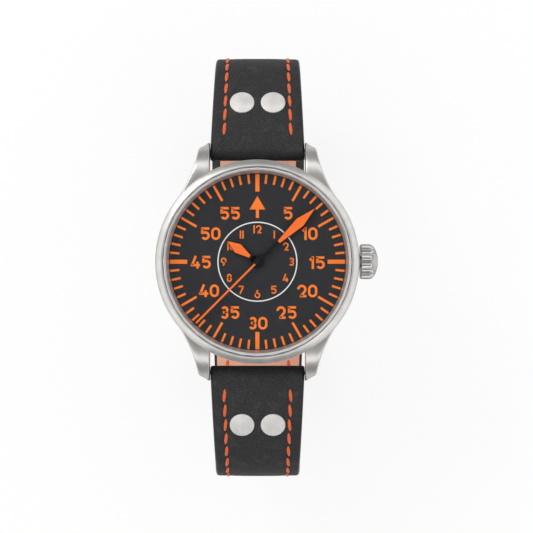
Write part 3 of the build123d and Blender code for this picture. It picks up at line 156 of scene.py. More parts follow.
class Socket:
    """A shader socket whose Python operators add Math nodes."""

    def __init__(self, graph: "Graph", link: bpy.types.NodeSocket) -> None:
        """Wraps one output socket of a graph."""
        self.graph = graph
        self.link = link

    def _math(self, operation: str, *terms: "Socket | float") -> "Socket":
        """Adds one Math node of an operation, fed with its terms in order."""
        node = self.graph.add("ShaderNodeMath", {"operation": operation}, dict(enumerate(terms)))
        return Socket(self.graph, node.outputs[0])

    def __add__(self, other: "Socket | float") -> "Socket":
        """Sum."""
        return self._math("ADD", self, other)

    def __sub__(self, other: "Socket | float") -> "Socket":
        """Difference."""
        return self._math("SUBTRACT", self, other)

    def __rsub__(self, other: "Socket | float") -> "Socket":
        """Difference from a number."""
        return self._math("SUBTRACT", other, self)

    def __mul__(self, other: "Socket | float") -> "Socket":
        """Product."""
        return self._math("MULTIPLY", self, other)

    def __pow__(self, other: "Socket | float") -> "Socket":
        """Power."""
        return self._math("POWER", self, other)

    __radd__ = __add__
    __rmul__ = __mul__

    def sine(self) -> "Socket":
        """Sine of the socket, in radians."""
        return self._math("SINE", self)

    def wrapped(self) -> "Socket":
        """The fraction that is left after whole numbers are taken off."""
        return self._math("FRACT", self)

    def band(self, low: float, high: float) -> "Socket":
        """A smooth step.

        Args:
            low: Where the result is 0.
            high: Where the result is 1.

        Returns:
            A factor from 0 to 1.
        """
        values = {"Value": self, "From Min": low, "From Max": high}
        node = self.graph.add("ShaderNodeMapRange", {"interpolation_type": "SMOOTHSTEP"}, values)
        return Socket(self.graph, node.outputs[0])


class Graph:
    """The node tree of one material, with a Principled shader at its end."""

    def __init__(self, name: str) -> None:
        """Makes a material.

        Args:
            name: Its name.
        """
        self.material = bpy.data.materials.new(name)
        self.material.use_nodes = True
        self.tree = self.material.node_tree
        self.tree.nodes.clear()
        self.output = self.tree.nodes.new("ShaderNodeOutputMaterial")
        self.shader = self.tree.nodes.new("ShaderNodeBsdfPrincipled")
        self.tree.links.new(self.shader.outputs[0], self.output.inputs[0])

    def add(self, kind: str, settings: dict | None = None, values: dict | None = None) -> bpy.types.Node:
        """Adds a node.

        Args:
            kind: The node's type.
            settings: Attributes, which are set first.
            values: Numbers, colours or sockets for its inputs, by name or index.

        Returns:
            The node.
        """
        node = self.tree.nodes.new(kind)
        for key, value in (settings or {}).items():
            setattr(node, key, value)
        for key, value in (values or {}).items():
            self.feed(node.inputs[key], value)
        return node

    def feed(self, target: bpy.types.NodeSocket, value: "Socket | float | Sequence[float]") -> None:
        """Links a socket to an input, or sets the input's own value.

        Args:
            target: The input.
            value: The socket, number or colour.
        """
        if isinstance(value, Socket):
            self.tree.links.new(value.link, target)
        else:
            target.default_value = value

    def set(self, **values: "Socket | float | Sequence[float]") -> None:
        """Feeds the Principled shader; an underscore in a name stands for a space."""
        for key, value in values.items():
            self.feed(self.shader.inputs[key.replace("_", " ")], value)

    def place(self) -> Socket:
        """Object coordinates."""
        return Socket(self, self.add("ShaderNodeTexCoord").outputs["Object"])

    def axes(self) -> tuple[Socket, Socket, Socket]:
        """The X, Y and Z parts of the Object coordinates."""
        node = self.add("ShaderNodeSeparateXYZ", None, {0: self.place()})
        return tuple(Socket(self, out) for out in node.outputs)

    def radius(self) -> Socket:
        """Distance from the dial axis."""
        x, y, _ = self.axes()
        return (x * x + y * y) ** 0.5

    def noise(self, scale: float, detail: float) -> Socket:
        """Noise over the surface from 0 to 1, with so many spots per metre and octaves."""
        values = {"Vector": self.place(), "Scale": scale, "Detail": detail}
        return Socket(self, self.add("ShaderNodeTexNoise", None, values).outputs[0])

    def lines(self, scale: float, position: Socket, detail: float) -> Socket:
        """Noise along one number, so that it makes parallel or concentric lines."""
        values = {"W": position, "Scale": scale, "Detail": detail}
        return Socket(self, self.add("ShaderNodeTexNoise", {"noise_dimensions": "1D"}, values).outputs[0])

    def cells(self, scale: float) -> Socket:
        """Distance inside Voronoi cells, as between leather's pebbles."""
        values, settings = {"Vector": self.place(), "Scale": scale}, {"feature": "DISTANCE_TO_EDGE"}
        return Socket(self, self.add("ShaderNodeTexVoronoi", settings, values).outputs[0])

    def mix(self, factor: Socket, first: Colour, second: Colour) -> Socket:
        """Blends two colours by a factor."""
        node = self.add("ShaderNodeMix", {"data_type": "RGBA"}, {0: factor, 6: first, 7: second})
        return Socket(self, node.outputs[2])

    def bump(self, height: Socket, depth: float) -> None:
        """Raises the surface by a height from 0 to 1, where 1 stands so many metres high."""
        values = {"Height": height, "Distance": depth}
        self.set(Normal=Socket(self, self.add("ShaderNodeBump", None, values).outputs[0]))

    def blend(self, factor: Socket, first: bpy.types.Node, second: bpy.types.Node) -> None:
        """Puts a Mix Shader at the material's end.

        Args:
            factor: 0 for the first shader and 1 for the second.
            first: A shader.
            second: Another shader.
        """
        mixer = self.add("ShaderNodeMixShader", None, {0: factor})
        for index, shader in enumerate((first, second), start=1):
            self.tree.links.new(shader.outputs[0], mixer.inputs[index])
        self.tree.links.new(mixer.outputs[0], self.output.inputs[0])


class Grain(Enum):
    """The way a metal's brush lines run."""

    CIRCULAR = "circular"
    ALONG_Y = "along y"
    STRIPES = "stripes"
    NONE = "none"


@dataclass(frozen=True)
class Metal:
    """A bare or plated metal with the marks of its last tool."""

    name: str
    colour: Colour
    roughness: float
    grain: Grain = Grain.NONE
    lines_per_metre: float = 9000.0
    depth: float = 0.006 * MM
    smudge_scale: float = 380.0
    smudge_shade: float = 0.86
    smudge_dulling: float = 0.05
    line_dulling: float = 0.1
    plain_dulling: float = 0.06
    plain_depth_share: float = 0.15
    stripe_pitch: float = 1.5 * MM
    stripe_height: float = 0.88
    stripe_line_share: float = 0.12
    stripe_depth_share: float = 4.0
    smudge_band: Point = (0.3, 0.8)

    def make(self) -> bpy.types.Material:
        """Builds the material.

        Returns:
            The material, with smudges and either fine noise, brush lines or slanted stripes.
        """
        graph = Graph(self.name)
        smudge = graph.noise(self.smudge_scale, detail=4)
        darker = tinted(self.colour, self.smudge_shade)
        graph.set(Metallic=1.0, Base_Color=graph.mix(smudge.band(*self.smudge_band), darker, self.colour))
        if self.grain is Grain.NONE:
            graph.set(Roughness=self.roughness + self.plain_dulling * smudge)
            graph.bump(graph.noise(self.lines_per_metre / 2, detail=2), self.depth * self.plain_depth_share)
            return graph.material
        position = graph.radius() if self.grain is Grain.CIRCULAR else graph.axes()[0]
        lines = graph.lines(self.lines_per_metre, position, detail=3)
        dulling = self.line_dulling * (lines - 0.5) + self.smudge_dulling * smudge
        graph.set(Roughness=self.roughness + dulling)
        depth = self.depth
        if self.grain is Grain.STRIPES:
            x, y, _ = graph.axes()
            across = ((x + y) * (1 / (self.stripe_pitch * math.sqrt(2)))).wrapped()
            lines = lines * self.stripe_line_share + across * (1 - across) * self.stripe_height
            depth *= self.stripe_depth_share
        graph.bump(lines, depth)
        return graph.material


@dataclass(frozen=True)
class Paint:
    """A printed or lacquered coat with a fine tooth."""

    name: str
    colour: Colour
    roughness: float
    grain_scale: float = 5200.0
    grain_depth: float = 0.004 * MM
    mottle: float = 0.1
    specular: float = 0.5
    cloud_size: float = 12.0
    grain_share: float = 0.7
    grain_dulling: float = 0.1
    spot_band: Point = (0.3, 0.7)

    def make(self) -> bpy.types.Material:
        """Builds the material.

        Returns:
            The material, with its colour mottled by a fine grain and a wider cloud.
        """
        graph = Graph(self.name)
        grain = graph.noise(self.grain_scale, detail=3)
        cloud = graph.noise(self.grain_scale / self.cloud_size, detail=2)
        dark, pale = tinted(self.colour, 1 - self.mottle), tinted(self.colour, 1 + self.mottle)
        spots = self.grain_share * grain + (1 - self.grain_share) * cloud
        graph.set(Base_Color=graph.mix(spots.band(*self.spot_band), dark, pale))
        graph.set(Roughness=self.roughness + self.grain_dulling * (grain - 0.5))
        graph.set(Specular_IOR_Level=self.specular)
        graph.bump(grain, self.grain_depth)
        return graph.material


@dataclass(frozen=True)
class Leather:
    """Tanned hide: pebbles, pores, soft creases and scuffs."""

    name: str
    colour: Colour
    worn: Colour
    roughness: float
    pebble_scale: float = 1500.0
    pebble_depth: float = 0.05 * MM
    pebble_edge: float = 0.32
    crease_scale: float = 190.0
    scuff_share: float = 0.35
    speck_share: float = 0.6
    pore_dulling: float = 0.16
    pebble_gloss: float = 0.1
    specular: float = 0.35
    heights: tuple[float, float, float] = (0.45, 0.2, 0.5)
    pores_per_pebble: float = 3.0
    scuffs_per_crease: float = 2.4
    specks_per_pebble: float = 2.6
    scuff_band: Point = (0.5, 0.82)
    speck_band: Point = (0.46, 0.78)

    def make(self) -> bpy.types.Material:
        """Builds the material.

        Returns:
            The material, worn in scuffs and specks and raised by pebbles, pores and creases.
        """
        graph = Graph(self.name)
        pebbles = graph.cells(self.pebble_scale).band(0.0, self.pebble_edge)
        pores = graph.noise(self.pebble_scale * self.pores_per_pebble, detail=3)
        crease = graph.noise(self.crease_scale, detail=5)
        scuff = graph.noise(self.crease_scale * self.scuffs_per_crease, detail=6).band(*self.scuff_band)
        specks = graph.noise(self.pebble_scale * self.specks_per_pebble, detail=4).band(*self.speck_band)
        wear = scuff * self.scuff_share + specks * self.speck_share
        graph.set(Base_Color=graph.mix(wear, self.colour, self.worn))
        dulling = self.pore_dulling * (pores - 0.5) - self.pebble_gloss * pebbles
        graph.set(Roughness=self.roughness + dulling, Specular_IOR_Level=self.specular)
        for_pebbles, for_pores, for_crease = self.heights
        graph.bump(for_pebbles * pebbles + for_pores * pores + for_crease * crease, self.pebble_depth)
        return graph.material


@dataclass(frozen=True)
class Thread:
    """Waxed thread, whose twist runs slantwise through the Object coordinates."""

    name: str
    colour: Colour
    roughness: float = 0.62
    fibre_scale: float = 9000.0
    twists_per_metre: float = 1800.0
    # Share of the colour left in the twist's grooves: painted shade.
    dark_share: float = 0.62
    twist_share: float = 0.6
    fibre_height: float = 0.4
    depth: float = 0.05 * MM
    sheen: float = 0.15

    def make(self) -> bpy.types.Material:
        """Builds the material.

        Returns:
            The material, with painted shade that darkens the grooves of its twist.
        """
        graph = Graph(self.name)
        fibre = graph.noise(self.fibre_scale, detail=3)
        x, y, z = graph.axes()
        twist = ((x + y + z) * (math.tau * self.twists_per_metre)).sine() * 0.5 + 0.5
        factor = self.twist_share * twist + (1 - self.twist_share) * fibre
        # Painted shade: the colour darkens in the grooves of the twist, where shade would fall; the fibre
        # noise only mottles it at random.
        dark = tinted(self.colour, self.dark_share)
        graph.set(Base_Color=graph.mix(factor, dark, self.colour), Roughness=self.roughness)
        graph.set(Sheen_Weight=self.sheen)
        graph.bump(twist + self.fibre_height * fibre, self.depth)
        return graph.material


@dataclass(frozen=True)
class Glass:
    """Clear sapphire with a coating: faint gloss over full clarity."""

    name: str
    gloss: float = 0.14
    gloss_colour: Colour = (0.9, 0.93, 1.0, 1.0)
    clear_colour: Colour = (0.985, 0.99, 0.99, 1.0)
    roughness: float = 0.02
    index: float = 1.5

    def make(self) -> bpy.types.Material:
        """Builds the material.

        Returns:
            The material: Fresnel sends a little light to the gloss, and the rest passes.
        """
        graph = Graph(self.name)
        graph.set(Base_Color=self.gloss_colour, Roughness=self.roughness, Metallic=1.0)
        clear = graph.add("ShaderNodeBsdfTransparent", None, {"Color": self.clear_colour})
        fresnel = Socket(graph, graph.add("ShaderNodeFresnel", None, {"IOR": self.index}).outputs[0])
        graph.blend(fresnel * self.gloss, clear, graph.shader)
        return graph.material


class Finishes:
    """Every material of the watch, made once and found by its plain name."""

    STEEL = shade(205, 203, 200)

    def __init__(self) -> None:
        """Makes the materials."""
        made = (
            Metal("bezel_steel", self.STEEL, 0.27, Grain.CIRCULAR, 7000.0, 0.012 * MM),
            Metal("case_steel", self.STEEL, 0.3, Grain.ALONG_Y, 6500.0, 0.01 * MM),
            Metal("band_steel", self.STEEL, 0.3, Grain.NONE, 6500.0, 0.01 * MM),
            Metal("back_steel", self.STEEL, 0.28, Grain.CIRCULAR, 7000.0, 0.008 * MM),
            Metal("crown_steel", shade(196, 194, 192), 0.2),
            Metal("polished_steel", shade(214, 213, 211), 0.12),
            Metal("rehaut_steel", shade(236, 235, 233), 0.5),
            Metal("rivet_steel", shade(232, 230, 228), 0.68),
            Metal("tool_steel", shade(165, 165, 168), 0.2),
            Metal("plate_nickel", shade(198, 196, 190), 0.32, Grain.NONE, 5200.0),
            Metal("striped_nickel", shade(204, 202, 197), 0.26, Grain.STRIPES, 9000.0, 0.02 * MM),
            Metal("gilt_brass", shade(216, 178, 104), 0.26, Grain.CIRCULAR, 9000.0, 0.004 * MM),
            Metal("blued_steel", shade(42, 62, 138), 0.2),
            Paint("dial_black", shade(43, 43, 46), 0.85, 5200.0, 0.012 * MM, 0.16, 0.25),
            Paint("orange_print", shade(255, 126, 43), 0.62, 6500.0, 0.008 * MM, 0.05, 0.25),
            Paint("orange_lume", shade(255, 116, 46), 0.7, 7500.0, 0.012 * MM, 0.06, 0.2),
            Paint("white_print", shade(232, 232, 230), 0.55, 6500.0, 0.004 * MM, 0.03, 0.3),
            Paint("hand_black", shade(15, 15, 16), 0.6, 5200.0, 0.003 * MM, 0.12, 0.2),
            Paint("edge_black", shade(17, 17, 18), 0.4, 3000.0, 0.01 * MM, 0.1, 0.3),
            Paint("black_rubber", shade(26, 26, 27), 0.7, 3000.0, 0.02 * MM, 0.15),
            # The gasket's own pale grey, made paler still as painted light, so the ring stays light in the
            # shade under the bezel.
            Paint("gasket_grey_painted_light", shade(215, 215, 216), 0.5, 3000.0, 0.004 * MM, 0.05, 0.4),
            Paint("ruby", shade(176, 18, 58), 0.08, 2000.0, 0.001 * MM, 0.12, 0.8),
            Leather("black_leather", shade(34, 34, 36), shade(72, 72, 72), 0.76),
            Leather("tan_leather", shade(226, 170, 146), shade(204, 146, 120), 0.66, 2600.0, 0.025 * MM),
            Thread("orange_thread", shade(240, 102, 40)),
            Glass("sapphire"),
        )
        self.materials = {finish.name: finish.make() for finish in made}

    def dress(self, piece: bpy.types.Object, name: str) -> None:
        """Gives a piece the finish of that name in place of what it had."""
        piece.data.materials.clear()
        piece.data.materials.append(self.materials[name])


class Shape:
    """A mesh in the making, from bmesh operators, that ends as one named piece."""

    def __init__(self) -> None:
        """Starts empty."""
        self.bm = bmesh.new()

    @property
    def geometry(self) -> list:
        """Every vertex, edge and face so far."""
        return [*self.bm.verts, *self.bm.edges, *self.bm.faces]

    def loop(self, corners: Iterable[Sequence[float]]) -> list:
        """Adds a closed loop through some corners and gives its vertices and edges."""
        verts = [self.bm.verts.new(corner) for corner in corners]
        return verts + [self.bm.edges.new(pair) for pair in zip(verts, verts[1:] + verts[:1])]

    def outward(self) -> "Shape":
        """Points every face outwards."""
        bmesh.ops.recalc_face_normals(self.bm, faces=self.bm.faces)
        return self

    def move(self, matrix: Matrix, verts: Sequence[bmesh.types.BMVert] | None = None) -> "Shape":
        """Moves some vertices, or all of them, by a matrix."""
        bmesh.ops.transform(self.bm, verts=self.bm.verts if verts is None else verts, matrix=matrix)
        return self

    def turn(self, degrees: float) -> "Shape":
        """Turns the whole shape about the dial axis."""
        return self.move(Matrix.Rotation(math.radians(degrees), 4, "Z"))

    def spun(self, profile: Iterable[Point], steps: int = ROUND_STEPS) -> "Shape":
        """Turns a closed section round the dial axis.

        Args:
            profile: Radius and height of each corner, in order round the section.
            steps: Facets in a full turn.

        Returns:
            The shape itself.
        """
        ring = self.loop((radius, 0, height) for radius, height in profile)
        bmesh.ops.spin(
            self.bm, geom=ring, cent=(0, 0, 0), axis=Z_AXIS, angle=math.tau, steps=steps, use_merge=True
        )
        bmesh.ops.remove_doubles(self.bm, verts=self.bm.verts, dist=WELD_DISTANCE)
        return self.outward()

    def drawn(self, section: Iterable[Point], steps: int) -> list[bmesh.types.BMFace]:
        """Pulls a closed section straight from a Y of 0 to 1 and closes both ends.

        Args:
            section: X and Z of each corner, in order.
            steps: Stretches along Y.

        Returns:
            The faces that close the ends.
        """
        ring = self.loop((x, 0, z) for x, z in section)
        bmesh.ops.spin(
            self.bm, geom=ring, cent=(0, 0, 0), axis=Z_AXIS, dvec=(0, 1 / steps, 0), angle=0, steps=steps
        )
        rims = [edge for edge in self.bm.edges if edge.is_boundary]
        return bmesh.ops.holes_fill(self.bm, edges=rims, sides=0)["faces"]

    def plate(self, outline: Sequence[Point], low: float, thickness: float) -> "Shape":
        """Adds a flat plate with that outline, upwards from a height."""
        face = self.bm.faces.new([self.bm.verts.new((x, y, low)) for x, y in outline])
        return self.raise_faces([face], thickness)

    def raise_faces(self, faces: Sequence[bmesh.types.BMFace], thickness: float) -> "Shape":
        """Pulls flat faces up into a solid.

        Args:
            faces: The faces, which become its underside.
            thickness: How far they are pulled.

        Returns:
            The shape itself.
        """
        grown = bmesh.ops.extrude_face_region(self.bm, geom=list(faces), use_keep_orig=True)["geom"]
        bmesh.ops.translate(self.bm, verts=of_kind(grown, bmesh.types.BMVert), vec=(0, 0, thickness))
        return self.outward()

    def rod(self, radius: float, length: float, matrix: Matrix, segments: int = 64) -> "Shape":
        """Adds a round rod.

        Args:
            radius: Its radius.
            length: Its length.
            matrix: Where its middle lies, with its axis on Z.
            segments: Facets round it.

        Returns:
            The shape itself.
        """
        bmesh.ops.create_cone(
            self.bm, cap_ends=True, segments=segments, radius1=radius, radius2=radius, depth=length,
            matrix=matrix,
        )
        return self

    def disc(self, radius: float, low: float, thickness: float) -> "Shape":
        """Adds a round plate about the dial axis, upwards from a height."""
        return self.rod(radius, thickness, Matrix.Translation((0, 0, low + thickness / 2)))

    def soften(self, edges: Sequence[bmesh.types.BMEdge], width: float, segments: int) -> "Shape":
        """Rounds the given edges.

        Args:
            edges: The edges.
            width: Width of the rounding.
            segments: Steps across it.

        Returns:
            The shape itself.
        """
        bmesh.ops.bevel(
            self.bm, geom=edges, offset=width, affect="EDGES", segments=segments, profile=0.5, material=-1,
            clamp_overlap=True,
        )
        return self

    def bevel(self, width: float, angle: float = 30.0, segments: int = 2) -> "Shape":
        """Rounds every sharp edge.

        Args:
            width: Width of the rounding.
            angle: Degrees from which an edge is sharp.
            segments: Steps across the rounding.

        Returns:
            The shape itself.
        """
        limit = math.radians(angle)
        sharp = [e for e in self.bm.edges if len(e.link_faces) == 2 and e.calc_face_angle() > limit]
        return self.soften(sharp, width, segments)

    def absorb(self, other: "Shape") -> None:
        """Takes in another shape, which ends with it.

        Args:
            other: The shape that is used up.
        """
        mesh = bpy.data.meshes.new("part")
        other.bm.to_mesh(mesh)
        other.bm.free()
        self.bm.from_mesh(mesh)
        bpy.data.meshes.remove(mesh)

    def finish(self, name: str, smooth: bool = True) -> bpy.types.Object:
        """Turns the shape into an object in the scene.

        Args:
            name: The piece's name.
            smooth: Whether its faces are shaded smooth.

        Returns:
            The object.
        """
        for face in self.bm.faces:
            face.smooth = smooth
        mesh = bpy.data.meshes.new(name)
        self.bm.to_mesh(mesh)
        self.bm.free()
        return show(name, mesh)


@dataclass
class Assembly:
    """A group of pieces that is built and dressed together."""

    finishes: Finishes

    def add(
        self, shape: Shape, name: str, finish: str, body: str, slot: str = "", stands_for: Sequence[str] = (),
        smooth: bool = True,
    ) -> bpy.types.Object:
        """Turns a shape into a dressed piece that rides on a body.

        Args:
            shape: The finished shape.
            name: The piece's name.
            finish: The material's name.
            body: The CAD body it moves with.
            slot: The record's material slot, or nothing where none fits; not used.
            stands_for: The CAD nodes that it replaces.
            smooth: Whether its faces are shaded smooth.

        Returns:
            The piece.
        """
        piece = shape.finish(name, smooth)
        self.finishes.dress(piece, finish)
        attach(piece, body)
        if stands_for:
            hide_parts(*stands_for)
        log.info("%s: %d faces on %s", name, len(piece.data.polygons), body)
        return piece

    def carve(self, piece: bpy.types.Object, cutters: Shape) -> None:
        """Cuts shapes out of a piece and keeps the result in its mesh.

        Args:
            piece: The piece.
            cutters: Closed shapes that are taken away from it.
        """
        cutter = cutters.finish("cutter")
        modifier = piece.modifiers.new("holes", "BOOLEAN")
        modifier.operation = "DIFFERENCE"
        modifier.solver = "EXACT"
        modifier.object = cutter
        bpy.context.view_layer.update()
        graph = bpy.context.evaluated_depsgraph_get()
        cut = bpy.data.meshes.new_from_object(piece.evaluated_get(graph), depsgraph=graph)
        piece.modifiers.clear()
        piece.data = cut
        bpy.data.objects.remove(cutter)

    def repaint(
        self, piece: bpy.types.Object, finish: str, chosen: Callable[[bpy.types.MeshPolygon], bool]
    ) -> None:
        """Gives some faces of a piece a second finish.

        Args:
            piece: The piece.
            finish: The second material's name.
            chosen: Says of a face whether it takes that finish.
        """
        piece.data.materials.append(self.finishes.materials[finish])
        for face in piece.data.polygons:
            face.material_index = int(chosen(face))


@dataclass
class Head(Assembly):
    """Bezel, rehaut and crystal."""

    bezel_radius: float = 21.0 * MM
    bezel_low: float = 8.6 * MM
    bezel_top: float = 11.2 * MM
    bezel_rounding: float = 0.12 * MM
    ring_radius: float = 19.7 * MM
    seat_radius: float = 19.35 * MM
    crystal_radius: float = 19.1 * MM
    opening_radius: float = 18.3 * MM
    dial_top: float = 8.0 * MM
    crystal_low: float = 9.9 * MM
    crystal_top: float = 11.65 * MM
    crystal_bevel: float = 0.35 * MM
    edge: float = 0.35 * MM
    outer_drop: float = 0.75 * MM
    inner_drop: float = 0.35 * MM
    rehaut_foot: float = 0.3 * MM
    rehaut_ledge: float = 0.22 * MM
    rehaut_rounding: float = 0.05 * MM
    sharp_angle: float = 15.0

    def bezel(self) -> None:
        """Ring with a brushed slope and softened edges."""
        shape = Shape().spun([
            (self.seat_radius, self.bezel_low),
            (self.bezel_radius - self.edge, self.bezel_low),
            (self.bezel_radius, self.bezel_low + self.edge),
            (self.bezel_radius, self.bezel_top - self.outer_drop),
            (self.ring_radius, self.bezel_top),
            (self.seat_radius, self.bezel_top - self.inner_drop),
        ], RIM_STEPS)
        shape.bevel(self.bezel_rounding, self.sharp_angle, segments=3)
        self.add(shape, "bezel_ring", "bezel_steel", "case", "case_steel", ["bezel"])

    def rehaut(self) -> None:
        """Matt ring that slopes down to the dial."""
        shape = Shape().spun([
            (self.opening_radius, self.dial_top),
            (self.seat_radius, self.dial_top),
            (self.seat_radius, self.crystal_low),
            (self.crystal_radius - self.rehaut_ledge, self.crystal_low),
            (self.opening_radius, self.dial_top + self.rehaut_foot),
        ], RIM_STEPS)
        shape.bevel(self.rehaut_rounding, self.sharp_angle)
        self.add(shape, "rehaut_slope", "rehaut_steel", "case", "polished_steel", ["rehaut_ring"])

    def crystal(self) -> None:
        """Flat sapphire with a bevelled rim."""
        shape = Shape().spun([
            (0, self.crystal_low),
            (self.crystal_radius, self.crystal_low),
            (self.crystal_radius, self.crystal_top - self.crystal_bevel),
            (self.crystal_radius - self.crystal_bevel, self.crystal_top),
            (0, self.crystal_top),
        ])
        self.add(shape, "crystal_disc", "sapphire", "case", "sapphire", ["crystal"], smooth=False)

    def build(self) -> None:
        """Builds the three rings."""
        self.bezel()
        self.rehaut()
        self.crystal()


@dataclass
class Case(Assembly):
    """Case band with its four lugs, and the back with its window.

    The outlines lug_side and lug_tip hold the distance from the crown's line and from the line
    between 12 and 6 o'clock, and lug_under holds the first of these and a height, in millimetres.
    """

    case_radius: float = 20.45 * MM
    bore_radius: float = 18.7 * MM
    seat_radius: float = 19.35 * MM
    band_low: float = 1.2 * MM
    band_top: float = 8.6 * MM
    band_rounding: float = 0.08 * MM
    seat_height: float = 8.0 * MM
    lug_inner: float = 9.93 * MM
    lug_root_inside: float = 16.4 * MM
    lug_root_outside: float = 8.5 * MM
    lug_root_bulge: float = 0.5 * MM
    lug_tangent: float = 0.48
    lug_side: tuple[Point, ...] = ((13.3, 16.3), (18.0, 13.8), (23.2, 12.3))
    lug_tip: tuple[Point, ...] = ((23.6, 12.1), (24.8, 10.0))
    lug_under: tuple[Point, ...] = ((13.3, 1.26), (19.6, 0.5))
    lug_drop: float = 4.6 * MM
    lug_drop_start: float = 15.0 * MM
    lug_drop_end: float = 24.9 * MM
    lug_drop_power: float = 3.6
    lug_corner: float = 0.3 * MM
    lug_corner_share: float = 0.1
    lug_end_rounding: float = 0.22 * MM
    lug_steps: int = 40
    back_radius: float = 19.9 * MM
    back_step_radius: float = 19.7 * MM
    back_spigot_radius: float = 18.65 * MM
    back_step: float = 0.8 * MM
    back_top: float = 2.4 * MM
    back_rounding: float = 0.07 * MM
    glass_radius: float = 13.7 * MM
    window_radius: float = 12.9 * MM
    glass_lip: float = 0.3 * MM
    glass_top: float = 1.3 * MM
    notches: int = 6
    notch_length: float = 1.6 * MM
    notch_width: float = 3.0 * MM
    notch_depth: float = 0.7 * MM

    def lug_outer(self, y: float) -> float:
        """Outer side of a lug, which leaves the band's circle along a tangent and is hollow.

        Args:
            y: Distance from the crown's line.

        Returns:
            Distance from the line between 12 and 6 o'clock.
        """
        at = y / MM
        (root_y, root_x), _, (start_y, start_x) = self.lug_side
        tip_y, tip_x = self.lug_tip[0]
        if at < root_y:
            return (root_x + self.lug_tangent * (root_y - at)) * MM
        if at <= start_y:
            return parabola(self.lug_side, at) * MM
        return (start_x + (tip_x - start_x) * (at - start_y) / (tip_y - start_y)) * MM

    def lug_heights(self, y: float) -> Point:
        """Heights of a lug's two faces.

        Args:
            y: Distance from the crown's line.

        Returns:
            The height of its underside and of its back.
        """
        (first, high), (last, low) = self.lug_under
        under = high + (low - high) * clamp((y / MM - first) / (last - first))
        fall = max(0.0, (y - self.lug_drop_start) / (self.lug_drop_end - self.lug_drop_start))
        return under * MM, self.band_top - self.lug_drop * fall ** self.lug_drop_power

    def lug_spread(self, share: float, length: float) -> float:
        """Place along a side of a lug, whose first and last share are its corners' width.

        Args:
            share: From 0 to 1 along the side.
            length: The side's length.

        Returns:
            Distance from the side's start.
        """
        end, corner = self.lug_corner_share, self.lug_corner
        if share < end:
            return share / end * corner
        if share > 1 - end:
            return length - (1 - share) / end * corner
        return corner + (share - end) / (1 - 2 * end) * (length - 2 * corner)

    def lug_point(self, across: float, along: float, up: float) -> Vector:
        """A point of a lug's skin.

        Args:
            across: 0 on the strap's side and 1 on the outside.
            along: 0 inside the case band and 1 at the tip.
            up: 0 below and 1 on top.

        Returns:
            The point, on the lug between 12 and 3 o'clock.
        """
        (corner_y, _), (tip_y, _) = self.lug_tip
        bulge = 4 * self.lug_root_bulge * across * (1 - across)
        root = self.lug_root_inside + (self.lug_root_outside - self.lug_root_inside) * across + bulge
        tip = (tip_y + (corner_y - tip_y) * across) * MM
        y = root + (tip - root) * along
        x = self.lug_inner + self.lug_spread(across, self.lug_outer(y) - self.lug_inner)
        low, top = self.lug_heights(y)
        return Vector((x, y, low + self.lug_spread(up, top - low)))

    def lug_section(self) -> list[Point]:
        """Section of a lug in shares of its sides, with round corners.

        Returns:
            Its corners: up the strap's side, over the top, down the outside and back below.
        """
        end, flat = self.lug_corner_share, (0.3, 0.5, 0.7)
        corner = [(end - end * math.sin(a), end - end * math.cos(a)) for a in (0, 0.52, 1.05, 1.57)]
        turned = corner[::-1]
        section = corner + [(0, v) for v in flat] + [(u, 1 - v) for u, v in turned]
        section += [(u, 1) for u in flat] + [(1 - u, 1 - v) for u, v in corner]
        section += [(1, 1 - v) for v in flat] + [(1 - u, v) for u, v in turned]
        return section + [(1 - u, 0) for u in flat]

    def lugs(self) -> None:
        """Draws one lug straight, bends it to its outline and mirrors it to the other three."""
        shape = Shape()
        ends = shape.drawn(self.lug_section(), self.lug_steps)
        for vert in shape.bm.verts:
            vert.co = self.lug_point(*vert.co)
        shape.soften([edge for face in ends for edge in face.edges], self.lug_end_rounding, segments=3)
        for flip in ((-1, 1, 1), (1, -1, 1)):
            copy = bmesh.ops.duplicate(shape.bm, geom=shape.geometry)["geom"]
            bmesh.ops.scale(shape.bm, verts=of_kind(copy, bmesh.types.BMVert), vec=flip)
        self.add(shape.outward(), "lugs", "case_steel", "case", "case_steel", ["middle_case"])

    def band(self) -> None:
        """The band between the lugs."""
        shape = Shape().spun([
            (self.bore_radius, self.band_low),
            (self.case_radius, self.band_low),
            (self.case_radius, self.band_top),
            (self.seat_radius, self.band_top),
            (self.seat_radius, self.seat_height),
            (self.bore_radius, self.seat_height),
        ], RIM_STEPS)
        shape.bevel(self.band_rounding)
        self.add(shape, "case_band", "band_steel", "case", "case_steel", ["middle_case"])

    def back(self) -> None:
        """Back with its notches for the opening tool."""
        shape = Shape().spun([
            (self.window_radius, 0),
            (self.back_radius, 0),
            (self.back_radius, self.band_low),
            (self.back_step_radius, self.band_low),
            (self.back_step_radius, self.back_step),
            (self.back_spigot_radius, self.back_step),
            (self.back_spigot_radius, self.back_top),
            (self.glass_radius, self.back_top),
            (self.glass_radius, self.glass_lip),
            (self.window_radius, self.glass_lip),
        ])
        shape.bevel(self.back_rounding)
        piece = self.add(shape, "back_ring", "back_steel", "case", "case_steel", ["case_back"])
        cutters = Shape()
        size = Matrix.Diagonal((2 * self.notch_length, self.notch_width, 2 * self.notch_depth, 1))
        out = Matrix.Translation((self.back_radius, 0, 0))
        for index in range(self.notches):
            turn = Matrix.Rotation(index * math.tau / self.notches, 4, "Z")
            bmesh.ops.create_cube(cutters.bm, size=1, matrix=turn @ out @ size)
        self.carve(piece, cutters)

    def window(self) -> None:
        """Stepped glass in the back."""
        shape = Shape().spun([
            (0, 0),
            (self.window_radius, 0),
            (self.window_radius, self.glass_lip),
            (self.glass_radius, self.glass_lip),
            (self.glass_radius, self.glass_top),
            (0, self.glass_top),
        ])
        self.add(shape, "back_window", "sapphire", "case", "sapphire", ["back_glass"], smooth=False)

    def build(self) -> None:
        """Builds the band, the lugs, the back and its window."""
        self.band()
        self.lugs()
        self.back()
        self.window()


